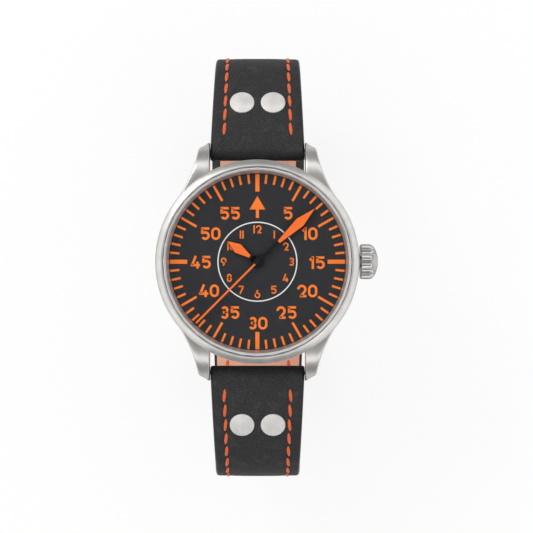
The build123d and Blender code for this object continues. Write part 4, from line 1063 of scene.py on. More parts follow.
@dataclass
class Crown(Assembly):
    """Scalloped crown with a ribbed dome, drawn upright and laid along +X."""

    start: tuple[float, float, float] = (21.2 * MM, 0, 5.3 * MM)
    radius: float = 3.68 * MM
    barrel: float = 2.25 * MM
    dome: float = 1.6 * MM
    dome_share: float = 0.95
    dome_powers: Point = (1.7, 0.62)
    dome_steps: int = 14
    dome_point: float = 0.02 * MM
    foot_chamfer: float = 0.36 * MM
    foot_inset: float = 0.04 * MM
    groove: float = 0.1 * MM
    socket_radius: float = 1.95 * MM
    socket_depth: float = 2.6 * MM
    flutes: int = 18
    flute_facets: int = 12
    flute_depth: float = 0.3 * MM
    flute_power: float = 0.85
    flute_inner_share: float = 0.35
    dome_groove: float = 0.2 * MM
    dome_groove_share: float = 0.4
    least_reach: float = 0.3 * MM
    socket_margins: Point = (1.02, 1.01)
    dome_margin: float = 1.02
    ridge_rounding: float = 0.02 * MM
    ridge_angle: float = 25.0

    def section(self) -> list[Point]:
        """The crown's section before it is fluted.

        Returns:
            Radius and height of its corners: socket, foot, barrel, groove and dome.
        """
        radius, barrel, foot, groove = self.radius, self.barrel, self.foot_chamfer, self.groove
        rim, shoulder = radius - groove * 0.7, barrel + groove * 0.5
        corners = [
            (0, self.socket_depth), (self.socket_radius, self.socket_depth), (self.socket_radius, 0),
            (radius - foot, 0), (radius - self.foot_inset, foot * 0.9), (radius, foot * 1.2),
            (radius, barrel * 0.5), (radius, barrel - groove), (radius - groove * 0.4, barrel - groove * 0.3),
            (radius - groove * 1.3, barrel), (rim, shoulder),
        ]
        inner, outer = self.dome_powers
        for index in range(1, self.dome_steps + 1):
            share = self.dome_share * index / self.dome_steps
            corners.append((rim * (1 - share ** inner) ** outer, shoulder + self.dome * share))
        return corners + [(0, corners[-1][1] + self.dome_point)]

    def press(self, vert: bmesh.types.BMVert) -> None:
        """Moves one vertex into its flute, unless it lies in the socket.

        Args:
            vert: The vertex, with the crown still upright.
        """
        reach = Vector(vert.co[:2]).length
        aside, above = self.socket_margins
        if reach < self.socket_radius * aside and vert.co.z < self.socket_depth * above:
            return
        angle = math.atan2(vert.co.y, vert.co.x)
        hollow = abs(math.sin(angle * self.flutes / 2)) ** self.flute_power
        share = min(1.0, reach / self.radius)
        if vert.co.z > self.barrel * self.dome_margin:
            vert.co.z -= hollow * self.dome_groove * min(1.0, reach / (self.dome_groove_share * self.radius))
        fade = (self.flute_inner_share + (1 - self.flute_inner_share) * share) * share
        vert.co.xy *= 1 - hollow * self.flute_depth * fade / max(reach, self.least_reach)

    def build(self) -> None:
        """Spins the crown's section, presses the flutes in and lays it on its axis."""
        shape = Shape().spun(self.section(), self.flutes * self.flute_facets)
        for vert in shape.bm.verts:
            self.press(vert)
        shape.move(Matrix.Translation(self.start) @ Matrix.Rotation(math.pi / 2, 4, "Y")).outward()
        piece = self.add(shape, "crown_shell", "crown_steel", "crown_and_stem", "polished_steel", ["crown"])
        round_edges(piece, self.ridge_rounding, self.ridge_angle)


class Pen:
    """Draws flat strokes of one width by extruding and spinning an edge."""

    ARC_STEP = 12.0

    def __init__(self, shape: Shape, width: float) -> None:
        """Takes up a pen.

        Args:
            shape: The shape that it draws in, at a height of 0.
            width: The stroke's width.
        """
        self.bm = shape.bm
        self.width = width
        self.place = Vector((0, 0, 0))
        self.heading = 0.0
        self.edge: list = []

    def _way(self, turn: float = 0.0) -> Vector:
        """The direction of travel, turned left by degrees."""
        angle = math.radians(self.heading + turn)
        return Vector((math.cos(angle), math.sin(angle), 0))

    def start(self, x: float, y: float, heading: float) -> "Pen":
        """Puts the pen down.

        Args:
            x: Where.
            y: Where.
            heading: The direction it faces, in degrees from +X.

        Returns:
            The pen.
        """
        self.place = Vector((x, y, 0))
        self.heading = heading
        side = self._way(90) * (self.width / 2)
        ends = [self.bm.verts.new(self.place + side), self.bm.verts.new(self.place - side)]
        self.edge = [*ends, self.bm.edges.new(ends)]
        return self

    def forward(self, length: float) -> "Pen":
        """Draws a straight stretch.

        Args:
            length: Its length.

        Returns:
            The pen.
        """
        line = of_kind(self.edge, bmesh.types.BMEdge)
        grown = bmesh.ops.extrude_edge_only(self.bm, edges=line)["geom"]
        points = of_kind(grown, bmesh.types.BMVert)
        step = self._way() * length
        bmesh.ops.translate(self.bm, verts=points, vec=step)
        ends = [edge for edge in of_kind(grown, bmesh.types.BMEdge) if set(edge.verts) == set(points)]
        self.edge = [*points, *ends]
        self.place += step
        return self

    def arc(self, radius: float, degrees: float) -> "Pen":
        """Draws an arc.

        Args:
            radius: Radius of the stroke's middle.
            degrees: How far it turns; a positive angle turns left.

        Returns:
            The pen.
        """
        centre = self.place + self._way(90) * (radius * math.copysign(1, degrees))
        angle = math.radians(degrees)
        steps = max(2, math.ceil(abs(degrees) / self.ARC_STEP))
        made = bmesh.ops.spin(self.bm, geom=self.edge, cent=centre, axis=Z_AXIS, angle=angle, steps=steps)
        self.edge = [part for part in made["geom_last"] if not isinstance(part, bmesh.types.BMFace)]
        self.place = centre + Matrix.Rotation(angle, 3, "Z") @ (self.place - centre)
        self.heading += degrees
        return self

    def line(self, first: Point, last: Point) -> "Pen":
        """Draws a straight stroke from one point to another."""
        step = Vector(last) - Vector(first)
        return self.start(*first, math.degrees(math.atan2(step.y, step.x))).forward(step.length)

    def bow(self, centre: Point, radius: float, start: float, degrees: float) -> "Pen":
        """Draws an arc about a centre.

        Args:
            centre: The centre.
            radius: Radius of the stroke's middle.
            start: Angle of its start, in degrees from +X.
            degrees: How far it turns; a positive angle turns left.

        Returns:
            The pen.
        """
        angle = math.radians(start)
        x, y = centre[0] + radius * math.cos(angle), centre[1] + radius * math.sin(angle)
        return self.start(x, y, start + math.copysign(90, degrees)).arc(radius, degrees)


@dataclass
class Digits:
    """Engineer's numerals of one stroke width, drawn inside a box of unit height."""

    stroke: float = 0.19
    width: float = 0.55
    gap: float = 0.11
    one_width: float = 0.2
    flagged: bool = True
    pen: Pen | None = None

    @property
    def height(self) -> float:
        """Height between the centre lines of the top and bottom strokes."""
        return 1 - self.stroke

    def advance(self, digit: str) -> float:
        """Width that a digit takes, without the gap after it."""
        return (self.one_width if digit == "1" else self.width) + self.stroke

    def draw(self, shape: Shape, digit: str) -> None:
        """Draws one digit with its centre lines starting at the origin.

        Args:
            shape: The shape to draw in.
            digit: The digit.
        """
        self.pen = Pen(shape, self.stroke)
        strokes = (
            self.zero, self.one, self.two, self.three, self.four, self.five, self.six, self.seven, self.eight,
            self.nine,
        )
        strokes[int(digit)]()

    def zero(self) -> None:
        """A tall ring with straight sides."""
        radius, side = self.width / 2, self.height - self.width
        self.pen.start(self.width, radius, 90).forward(side).arc(radius, 180).forward(side).arc(radius, 180)

    def one(self) -> None:
        """An upright, with a short flag where the style has one."""
        half = self.stroke / 2
        self.pen.line((self.one_width, -half), (self.one_width, self.height + half))
        if self.flagged:
            self.pen.line((self.one_width, self.height * 0.98), (-half * 0.4, self.height * 0.74))

    def two(self) -> None:
        """A hook, a slope and a foot."""
        radius, sweep, over = self.width / 2, 218.0, self.stroke * 0.45
        self.pen.start(0, self.height - radius, 90).arc(radius, -sweep)
        self.pen.forward(self.pen.place.y / math.cos(math.radians(sweep - 180)))
        self.pen.line((self.pen.place.x - over, 0), (self.width + over, 0))

    def three(self) -> None:
        """Two bowls, the lower one larger, and a bar between them."""
        upper, sweep = self.height * 0.24, 245.0
        lower, bar = self.height / 2 - upper, self.height - 2 * upper
        self.pen.bow((self.width - upper * 1.05, self.height - upper), upper, 155.0, -sweep)
        self.pen.bow((self.width - lower * 1.05, lower), lower, 90.0, -sweep)
        self.pen.line((self.width * 0.36, bar), (self.width - upper, bar))

    def four(self) -> None:
        """A slope, a bar in two stretches and a short upright between them."""
        bar, post, half = self.height * 0.22, self.width * 0.8, self.stroke / 2
        self.pen.line((self.width * 0.56, self.height + half), (0.02, bar))
        self.pen.line((-half, bar), (post - half, bar))
        self.pen.line((post + half, bar), (self.width + half, bar))
        self.pen.line((post, self.height * 0.55), (post, -half))

    def five(self) -> None:
        """A top bar, a short upright and a bowl."""
        radius, left = self.height * 0.31, self.width * 0.1
        self.pen.line((left - self.stroke / 2, self.height), (self.width + self.stroke * 0.3, self.height))
        self.pen.line((left, self.height), (left, self.height * 0.46))
        self.pen.bow((self.width - radius, radius), radius, 135.0, -285)

    def six(self) -> None:
        """A ring with a straight stem that leaves it on the left."""
        self._ring_and_stem(1, 0, 0)

    def nine(self) -> None:
        """A six turned half round."""
        self._ring_and_stem(-1, self.width, self.height)

    def _ring_and_stem(self, sign: int, x0: float, y0: float) -> None:
        """Draws a six or a nine.

        Args:
            sign: 1 for a six and -1 for a nine.
            x0: The corner of the box that it starts from.
            y0: The corner of the box that it starts from.
        """
        radius, leave = self.width / 2, 150.0
        angle = math.radians(leave)
        x, y = radius + radius * math.cos(angle), radius + radius * math.sin(angle)
        rise = self.height + self.stroke / 2 - y
        run = rise / math.tan(math.radians(leave - 90))
        turn = 0 if sign > 0 else 180
        self.pen.start(x0 + sign * (x + run), y0 + sign * (y + rise), leave + 90 + turn)
        self.pen.forward(math.hypot(rise, run)).arc(radius, 360)

    def seven(self) -> None:
        """A top bar and a slope."""
        over = self.stroke * 0.3
        self.pen.line((-over, self.height), (self.width + over, self.height))
        self.pen.line((self.width, self.height), (self.width * 0.24, -self.stroke / 2))

    def eight(self) -> None:
        """Two rings, the lower one larger."""
        upper = self.height * 0.235
        lower = self.height / 2 - upper
        for radius, middle in ((upper, self.height - upper), (lower, lower)):
            self.pen.start(self.width / 2 + radius, middle, 90).arc(radius, 360)


@dataclass
class DialFace(Assembly):
    """Minute track, triangle, hour ring and numerals; the two tables of places are in millimetres."""

    top: float = 8.0 * MM
    mark_thickness: float = 0.05 * MM
    track_radius: float = 18.1 * MM
    tick_inner: float = 16.2 * MM
    tick_width: float = 0.46 * MM
    bar_inner: float = 14.5 * MM
    bar_width: float = 0.5 * MM
    quarter_width: float = 0.85 * MM
    triangle_apex: float = 13.6 * MM
    triangle_base: float = 10.8 * MM
    triangle_half: float = 1.62 * MM
    stem_end: float = 9.04 * MM
    stem_width: float = 0.65 * MM
    ring_radius: float = 8.15 * MM
    ring_width: float = 0.24 * MM
    minute_height: float = 2.62 * MM
    hour_height: float = 1.68 * MM
    hour_radius: float = 6.7 * MM
    hour_side_radius: float = 6.98 * MM
    minutes: int = 60
    minute_places: tuple[Point, ...] = (
        (6.3, 10.0), (10.8, 5.8), (12.3, -0.2), (10.3, -6.05), (6.0, -10.5), (0.0, -12.7),
        (-5.8, -10.5), (-10.0, -6.0), (-11.7, -0.1), (-9.7, 5.8), (-5.7, 10.0),
    )
    hour_shifts: dict[int, Point] = field(default_factory=lambda: {
        1: (0.12, -0.2), 2: (0.05, -0.2), 10: (0.4, -0.15), 11: (0.1, -0.2)})

    def _mark(self, shape: Shape, index: int, inner: float, width: float) -> None:
        """Adds one bar of the minute track.

        Args:
            shape: The track.
            index: The bar's minute.
            inner: Radius of its inner end.
            width: Its width.
        """
        angle = math.tau * index / self.minutes
        way = Vector((math.sin(angle), math.cos(angle)))
        side = Vector((way.y, -way.x)) * (width / 2)
        near, far = way * inner, way * self.track_radius
        outline = [tuple(point) for point in (near - side, far - side, far + side, near + side)]
        shape.plate(outline, self.top, self.mark_thickness)

    def track(self) -> None:
        """Sixty bars: plain minutes, longer fives and broad quarters."""
        shape = Shape()
        fives, quarters = self.minutes // 12, self.minutes // 4
        for index in range(self.minutes):
            if index % quarters == 0:
                self._mark(shape, index, self.bar_inner, self.quarter_width)
            elif index % fives == 0:
                self._mark(shape, index, self.bar_inner, self.bar_width)
            else:
                self._mark(shape, index, self.tick_inner, self.tick_width)
        half = self.stem_width / 2
        shape.plate([
            (0, self.triangle_apex), (self.triangle_half, self.triangle_base), (half, self.triangle_base),
            (half, self.stem_end), (-half, self.stem_end), (-half, self.triangle_base),
            (-self.triangle_half, self.triangle_base),
        ], self.top, self.mark_thickness)
        self.add(shape, "minute_track", "orange_print", "case", "orange_print", ["dial_marks"], smooth=False)

    def ring(self) -> None:
        """Thin white circle round the hours."""
        outer = self.ring_radius + self.ring_width / 2
        inner = outer - self.ring_width
        high = self.top + self.mark_thickness
        shape = Shape().spun([(inner, self.top), (outer, self.top), (outer, high), (inner, high)])
        self.add(shape, "hour_circle", "white_print", "case", smooth=False)

    def _number(self, shape: Shape, digits: Digits, text: str, height: float, place: Point) -> None:
        """Draws a number.

        Args:
            shape: The print that it joins.
            digits: The style.
            text: The number.
            height: Its height.
            place: Where its middle lies on the dial.
        """
        total = sum(digits.advance(d) for d in text) + digits.gap * (len(text) - 1)
        left = -total / 2 + digits.stroke / 2
        lay = Matrix.Translation((*place, self.top)) @ Matrix.Scale(height, 4)
        for digit in text:
            before = set(shape.bm.verts)
            digits.draw(shape, digit)
            mine = [vert for vert in shape.bm.verts if vert not in before]
            shape.move(lay @ Matrix.Translation((left, -digits.height / 2, 0)), mine)
            left += digits.advance(digit) + digits.gap

    def minute_numerals(self) -> None:
        """Minute numbers outside the circle."""
        shape = Shape()
        for index, (x, y) in enumerate(self.minute_places, start=1):
            self._number(shape, Digits(), str(index * 5), self.minute_height, (x * MM, y * MM))
        shape.raise_faces(shape.bm.faces, self.mark_thickness)
        self.add(shape, "minute_numerals", "orange_print", "case", "orange_print", smooth=False)

    def hour_numerals(self) -> None:
        """Hours inside the circle, in a narrower style."""
        shape = Shape()
        digits = Digits(stroke=0.17, width=0.54, gap=0.12, one_width=0.02, flagged=False)
        for hour in range(1, 13):
            angle = math.tau * hour / 12
            radius = self.hour_side_radius if hour in (3, 9) else self.hour_radius
            aside, up = self.hour_shifts.get(hour, (0.0, 0.0))
            place = (radius * math.sin(angle) + aside * MM, radius * math.cos(angle) + up * MM)
            self._number(shape, digits, str(hour), self.hour_height, place)
        shape.raise_faces(shape.bm.faces, self.mark_thickness)
        self.add(shape, "hour_numerals", "orange_print", "case", "orange_print", smooth=False)

    def build(self) -> None:
        """Prints the whole dial."""
        self.track()
        self.ring()
        self.minute_numerals()
        self.hour_numerals()


@dataclass(frozen=True)
class Blade:
    """A hand's blade that points to 12: half widths, and their distances from the centre."""

    neck: float
    start: float
    wide: float
    shoulder: float
    tip: float

    def corners(self) -> list[Point]:
        """The blade's corners, in order."""
        right = [(self.neck, self.start), (self.wide, self.shoulder)]
        return [*right, (0, self.tip), (-self.wide, self.shoulder), (-self.neck, self.start)]


@dataclass
class Hands(Assembly):
    """Three hands with filled blades and stacked hubs."""

    thickness: float = 0.15 * MM
    fill: float = 0.08 * MM
    outline: float = 0.13 * MM
    stretch: float = 2.6
    fill_start: float = 1.9 * MM
    hour_blade: Blade = Blade(
        neck=0.42 * MM, start=0.0, wide=1.18 * MM, shoulder=4.9 * MM, tip=7.85 * MM
    )
    hour_low: float = 8.36 * MM
    hour_turn: float = 55.6
    hour_hub: float = 1.41 * MM
    minute_blade: Blade = Blade(
        neck=0.45 * MM, start=6.0 * MM, wide=1.13 * MM, shoulder=12.0 * MM, tip=16.5 * MM
    )
    minute_low: float = 8.72 * MM
    minute_turn: float = -47.2
    minute_hub: float = 0.8 * MM
    minute_stem_half: float = 0.4 * MM
    minute_stem_length: float = 6.1 * MM
    seconds_low: float = 9.08 * MM
    seconds_turn: float = 135.0
    seconds_hub: float = 0.62 * MM
    seconds_length: float = 17.9 * MM
    seconds_tail: float = 3.6 * MM
    seconds_width: float = 0.38 * MM
    seconds_dark_end: float = 0.7 * MM
    seconds_rounding: float = 0.02 * MM
    seconds_angle: float = 60.0

    @staticmethod
    def strip(half: float, first: float, last: float) -> list[Point]:
        """Corners of a straight bar of that half width between two distances from the centre."""
        return [(half, first), (half, last), (-half, last), (-half, first)]

    def display(self, name: str, dark: Shape, blade: Blade, low: float, turn: float) -> None:
        """Adds a dark hand and the filling on its blade.

        Args:
            name: The hand, as hour or minute.
            dark: The hand's shape, towards 12.
            blade: Its blade.
            low: Height of its underside.
            turn: The angle that the hand stands at, in degrees to the left of 12.
        """
        edge, body = self.outline, f"{name}_display"
        inner = Blade(
            blade.neck - edge, max(blade.start, self.fill_start), blade.wide - edge, blade.shoulder,
            blade.tip - edge * self.stretch,
        )
        filling = Shape().plate(inner.corners(), low + self.thickness, self.fill)
        hand = f"{name}_hand"
        self.add(dark.turn(turn), f"{name}_blade", "hand_black", body, "hand_black", [hand], False)
        self.add(
            filling.turn(turn), f"{name}_fill", "orange_lume", body, "orange_print", [f"{hand}_lume"], False
        )

    def hour(self) -> None:
        """Short broad rhomb on a large hub."""
        dark = Shape().plate(self.hour_blade.corners(), self.hour_low, self.thickness)
        dark.disc(self.hour_hub, self.hour_low, self.thickness)
        self.display("hour", dark, self.hour_blade, self.hour_low, self.hour_turn)

    def minute(self) -> None:
        """Long rhomb on a thin stem."""
        dark = Shape().plate(self.minute_blade.corners(), self.minute_low, self.thickness)
        stem = self.strip(self.minute_stem_half, 0, self.minute_stem_length)
        dark.plate(stem, self.minute_low, self.thickness)
        dark.disc(self.minute_hub, self.minute_low, self.thickness)
        self.display("minute", dark, self.minute_blade, self.minute_low, self.minute_turn)

    def seconds(self) -> None:
        """Orange needle with a dark tail and hub."""
        half, low, turn = self.seconds_width / 2, self.seconds_low, self.seconds_turn
        bright = self.strip(half, self.seconds_dark_end, self.seconds_length)
        needle = Shape().plate(bright, low, self.thickness)
        tail = Shape().plate(self.strip(half, -self.seconds_tail, self.seconds_dark_end), low, self.thickness)
        tail.disc(self.seconds_hub, low, self.thickness + self.fill)
        tail.bevel(self.seconds_rounding, self.seconds_angle)
        body = "seconds_train"
        self.add(
            needle.turn(turn), "seconds_needle", "orange_lume", body, "orange_print", ["seconds_hand"], False
        )
        self.add(tail.turn(turn), "seconds_tail", "hand_black", body, "hand_black", (), False)

    def build(self) -> None:
        """Builds the three hands."""
        self.hour()
        self.minute()
        self.seconds()


@dataclass(frozen=True)
class Face:
    """One face of a strap half: arcs that turn down from the lug and under the wrist.

    The start and the radii are in millimetres, and the headings in degrees.
    """

    start: Point
    headings: tuple[float, ...]
    radii: tuple[float, ...]

    def at(self, heading: float) -> Vector:
        """The point where the face runs along a heading.

        Args:
            heading: The heading in degrees.

        Returns:
            The point's Y and Z.
        """
        place = Vector(self.start) * MM
        for radius, first, last in zip(self.radii, self.headings, self.headings[1:]):
            a, b = math.radians(first), math.radians(max(last, heading))
            place += radius * MM * Vector((math.sin(a) - math.sin(b), math.cos(b) - math.cos(a)))
            if heading >= last:
                break
        return place

    def length(self, until: float) -> float:
        """Arc length from the start to a heading."""
        arcs = zip(self.radii, self.headings, self.headings[1:])
        return sum(r * MM * math.radians(first - max(last, min(first, until))) for r, first, last in arcs)

    def heading_after(self, distance: float) -> float:
        """The heading at a distance along the face, found by halving.

        Args:
            distance: Arc length from the start.

        Returns:
            The heading in degrees.
        """
        high, low = self.headings[0], self.headings[-1]
        for _ in range(32):
            middle = (high + low) / 2
            high, low = (middle, low) if self.length(middle) < distance else (high, middle)
        return (high + low) / 2


@dataclass(frozen=True)
class Half:
    """One strap half, drawn towards +Y and turned to its own side."""

    name: str
    side: int
    outer: Face
    inner: Face
    stitch_start: float
    stitch_spare: float
    rivet_heading: float
    tip_length: float
    lining: float = 0.7 * MM
    end_corner: float = 0.8 * MM
    end_thickness: float = 0.12
    lug_half: float = 9.9 * MM
    far_half: float = 9.0 * MM
    taper_start: float = 21.7 * MM
    taper_end: float = 43.4 * MM

    @property
    def reach(self) -> float:
        """Length of the outer face."""
        return self.outer.length(self.outer.headings[-1])

    def frame(self, distance: float) -> tuple[Vector, Vector, float]:
        """The strap at a distance from the lug.

        Args:
            distance: Arc length along the outer face.

        Returns:
            The outer face's point in Y and Z, the step to the inner face, and the heading.
        """
        heading = self.outer.heading_after(distance)
        top = self.outer.at(heading)
        return top, self.inner.at(heading) - top, heading

    def half_width(self, distance: float, y: float) -> float:
        """Half the strap's width: tapered, with small corners at its ends and a pointed tail.

        Args:
            distance: Arc length from the lug.
            y: Distance from the crown's line, which falls again under the wrist.

        Returns:
            Half the width there.
        """
        left = self.reach - distance
        share = clamp((y - self.taper_start) / (self.taper_end - self.taper_start))
        # Y falls again near the end, where the strap keeps the narrow width that it has reached.
        under_wrist = left < self.outer.radii[2] * MM * 2
        width = self.far_half if under_wrist else self.lug_half + (self.far_half - self.lug_half) * share
        nose = min(distance, left if self.side > 0 else distance) / self.end_corner
        if nose < 1:
            width -= self.end_corner * (1 - quarter_round(nose))
        if self.tip_length and left < self.tip_length:
            width *= quarter_round(left / self.tip_length)
        return width

    def place(self, across: float, distance: float, depth: float) -> Vector:
        """A point of the strap.

        Args:
            across: From -1 to 1 across the width.
            distance: Arc length from the lug.
            depth: 0 on the outer face, 1 on the lining's seam and 2 on the inner face.

        Returns:
            The point in the frame.
        """
        top, step, _ = self.frame(distance)
        thick = step.length
        seam = (thick - self.lining) / thick
        share = depth * seam if depth <= 1 else seam + (depth - 1) * (1 - seam)
        nose = min(distance, self.reach - distance) / (thick / 2)
        if nose < 1:
            share = 0.5 + (share - 0.5) * max(self.end_thickness, quarter_round(nose))
        point = top + step * share
        return Vector((across * self.half_width(distance, top.x), self.side * point.x, point.y))

    def seat(self, across: float, distance: float, inside: bool = False) -> Matrix:
        """A frame on a face of the strap.

        Args:
            across: From -1 to 1 across the width.
            distance: Arc length from the lug.
            inside: Whether it lies on the inner face.

        Returns:
            The frame, with X across, Y along the strap and Z out of the face.
        """
        top, step, heading = self.frame(distance)
        point = top + step if inside else top
        angle = math.radians(heading)
        along = Vector((0, self.side * math.cos(angle), math.sin(angle)))
        out = Vector((0, -self.side * math.sin(angle), math.cos(angle))) * (-1 if inside else 1)
        place = Vector((across * self.half_width(distance, top.x), self.side * point.x, point.y))
        return Matrix.Translation(place) @ Matrix((along.cross(out), along, out)).transposed().to_4x4()


@dataclass
class Strap(Assembly):
    """Two riveted leather halves with tan linings, stitches and keepers."""

    row_share: float = 0.717
    inside_row_share: float = 0.985
    groove: float = 0.05
    seam_share: float = 0.944
    steps: int = 170
    edge_slant: float = 0.6
    stitch_pitch: float = 3.4 * MM
    stitch_length: float = 2.95 * MM
    stitch_radius: float = 0.36 * MM
    stitch_flatness: float = 0.57
    stitch_fullness: float = 2.4
    stitch_bow: float = 0.208 * MM
    stitch_lift: float = 0.04 * MM
    stitch_slant: float = 5.0
    stitch_facets: int = 8
    rivet_x: float = 3.25 * MM
    rivet_radius: float = 2.58 * MM
    rivet_height: float = 0.32 * MM
    rivet_crown: float = 0.05 * MM
    rivet_rim: float = 0.14 * MM
    rivet_sink: float = 0.25 * MM
    rivet_gap: float = 0.05 * MM
    rivet_facets: int = 64
    shank_radius: float = 0.9 * MM
    cap_radius: float = 2.2 * MM
    cap_height: float = 0.4 * MM
    under_centre: float = 37.081 * MM
    tail_radius: float = 72.081 * MM
    tail_thickness: float = 2.2 * MM
    hole_pitch: float = 6.5 * MM
    hole_radius: float = 0.8 * MM
    hole_facets: int = 32
    holes_each_way: int = 3
    tongue_hole_y: float = 7.0 * MM
    tongue_hole_radius: float = 1.3 * MM
    tongue_hole_reach: float = 2.3 * MM
    hole_depth: float = 4.8 * MM
    slot_end_y: float = 11.55 * MM
    slot_width: float = 2.3 * MM
    slot_height: float = -32.9 * MM
    slot_depth: float = 8.0 * MM
    keeper_length: float = 5.0 * MM
    keeper_wall: float = 1.0 * MM
    keeper_low: float = 69.245 * MM
    keeper_high: float = 74.581 * MM
    keeper_half: float = 9.3 * MM
    keeper_corner: float = 0.6 * MM
    keeper_rounding: float = 0.25 * MM
    keeper_steps: int = 10
    keeper_angle: float = 35.0
    keeper_inner_share: float = 0.98
    keeper_tan_share: float = 0.5
    fixed_keeper_y: float = 14.6 * MM
    sliding_keeper_y: float = 22.6 * MM

    def halves(self) -> tuple[Half, Half]:
        """The arcs of both halves, as the CAD has them.

        Returns:
            The short 12 o'clock half, and the long one, whose tail lies over it.
        """
        short = (-14.63, -30.0, -44.0, -148.0, -172.8)
        long = (-12.0, -23.0, -42.0, -146.0, -180.0, -204.2)
        short_outer = Face((21.68, 5.489), short, (46.0, 36.0, 12.331, 71.781))
        short_inner = Face((20.593, 1.326), short, (41.7, 31.7, 9.412, 67.052))
        long_outer = Face((22.209, 5.237), long, (60.0, 31.0, 13.452, 72.122, 74.281))
        long_inner = Face((21.315, 1.031), long, (55.7, 26.7, 10.517, 67.553, 72.081))
        return (
            Half(
                "12", 1, short_outer, short_inner, stitch_start=4.8 * MM, stitch_spare=4.0 * MM,
                rivet_heading=-30.6, tip_length=0.0,
            ),
            Half(
                "6", -1, long_outer, long_inner, stitch_start=4.3 * MM, stitch_spare=8.0 * MM,
                rivet_heading=-25.0, tip_length=9.0 * MM,
            ),
        )

    def leather_section(self) -> list[Point]:
        """Right half of the leather's section, in shares of the half width and of the layers.

        Returns:
            Its corners: crowned face, stitch groove, round edge and the recess for the lining.
        """
        row, seam, deep = self.row_share, self.seam_share, self.groove
        return [
            (0.0, -0.03), (0.3, -0.028), (0.52, -0.018), (row - 0.045, 0.0), (row - 0.018, deep * 0.7),
            (row, deep), (row + 0.018, deep * 0.7), (row + 0.05, 0.0), (0.9, 0.0), (0.955, 0.03),
            (0.985, 0.1), (1.0, 0.24), (1.0, 1.5), (0.992, 1.8), (0.975, 1.94), (0.95, 2.0), (seam, 1.9),
            (seam, 1.0), (0.0, 1.0),
        ]

    def lining_section(self) -> list[Point]:
        """Right half of the lining's section."""
        return [(0.0, 1.0), (self.seam_share, 1.0), (self.seam_share, 1.93), (0.93, 2.0), (0.0, 2.0)]

    def layer(self, half: Half, section: list[Point]) -> Shape:
        """Draws one layer straight, then lays it along the strap.

        Args:
            half: The strap half.
            section: Right half of the section, from the middle round to the middle.

        Returns:
            The closed shape.
        """
        shape = Shape()
        shape.drawn(section + [(-x, depth) for x, depth in reversed(section[1:-1])], self.steps)
        for vert in shape.bm.verts:
            # The stretches get shorter towards both ends, which are round.
            share = (1 - math.cos(math.pi * clamp(vert.co.y))) / 2
            vert.co = half.place(vert.co.x, half.reach * share, vert.co.z)
        return shape.outward()

    def under_frame(self, y: float) -> Matrix:
        """A frame in the middle of the tail's thickness.

        Args:
            y: Distance along Y.

        Returns:
            The frame, with Z towards the wrist's centre.
        """
        middle = self.tail_radius + self.tail_thickness / 2
        centre = Matrix.Translation((0, 0, self.under_centre))
        return centre @ Matrix.Rotation(math.asin(y / middle), 4, "X") @ Matrix.Translation((0, 0, -middle))

    def cutters(self, half: Half) -> Shape:
        """What is cut out of a half.

        Args:
            half: The strap half.

        Returns:
            The slot of the short half, or the adjustment holes and the tongue's hole of the tail.
        """
        shape = Shape()
        if half.side > 0:
            size = Matrix.Diagonal((self.slot_width, self.slot_end_y, self.slot_depth, 1))
            place = Matrix.Translation((0, self.slot_end_y / 2, self.slot_height))
            bmesh.ops.create_cube(shape.bm, size=1, matrix=place @ size)
            return shape
        for index in range(-self.holes_each_way, self.holes_each_way + 1):
            place = self.under_frame(self.tongue_hole_y + index * self.hole_pitch)
            if index:
                shape.rod(self.hole_radius, self.hole_depth, place, self.hole_facets)
            else:
                stretch = Matrix.Diagonal((1, self.tongue_hole_reach / self.tongue_hole_radius, 1, 1))
                shape.rod(self.tongue_hole_radius, self.hole_depth, place @ stretch, self.hole_facets)
        return shape

    def layers(self, half: Half) -> None:
        """Builds the leather and lining of one half, with their holes.

        Args:
            half: The strap half.
        """
        for layer, section, finish, slot in (
            ("leather", self.leather_section(), "black_leather", "strap_leather"),
            ("lining", self.lining_section(), "tan_leather", "lining_leather"),
        ):
            name = f"strap_{half.name}_{layer}"
            piece = self.add(self.layer(half, section), f"{name}_dressed", finish, "case", slot, [name])
            self.carve(piece, self.cutters(half))
            if layer == "leather":
                self.repaint(piece, "edge_black", lambda face: abs(face.normal.x) > self.edge_slant)

    def stitch(self, shape: Shape, place: Matrix) -> None:
        """Adds one stitch: a full, flattened bead that dips at both ends.

        Args:
            shape: The row that it joins.
            place: Its frame on the face.
        """
        facets = self.stitch_facets
        made = bmesh.ops.create_uvsphere(shape.bm, u_segments=facets, v_segments=facets, radius=1)["verts"]
        shape.move(Matrix.Rotation(math.pi / 2, 4, "X"), made)
        for vert in made:
            x, y, z = vert.co
            full = (1 - min(1.0, abs(y)) ** self.stitch_fullness) ** 0.5
            radius = self.stitch_radius * (full / max(1e-6, (1 - y * y) ** 0.5) if abs(y) < 1 else 1)
            rise = self.stitch_lift - self.stitch_bow * y * y
            vert.co = (x * radius, y * self.stitch_length / 2, z * radius * self.stitch_flatness + rise)
        shape.move(place, made)

    def stitches(self, half: Half) -> None:
        """Sews both rows, on the outside and through to the lining.

        Args:
            half: The strap half.
        """
        shape = Shape()
        count = int((half.reach - half.stitch_start - half.stitch_spare) / self.stitch_pitch)
        for index in range(count):
            distance = half.stitch_start + (index + 0.5) * self.stitch_pitch
            for side in (-1, 1):
                slant = Matrix.Rotation(math.radians(self.stitch_slant * side), 4, "Z")
                for inside in (False, True):
                    across = side * self.row_share * (self.inside_row_share if inside else 1)
                    self.stitch(shape, half.seat(across, distance, inside) @ slant)
        self.add(shape.outward(), f"stitches_{half.name}", "orange_thread", "case", "orange_print")

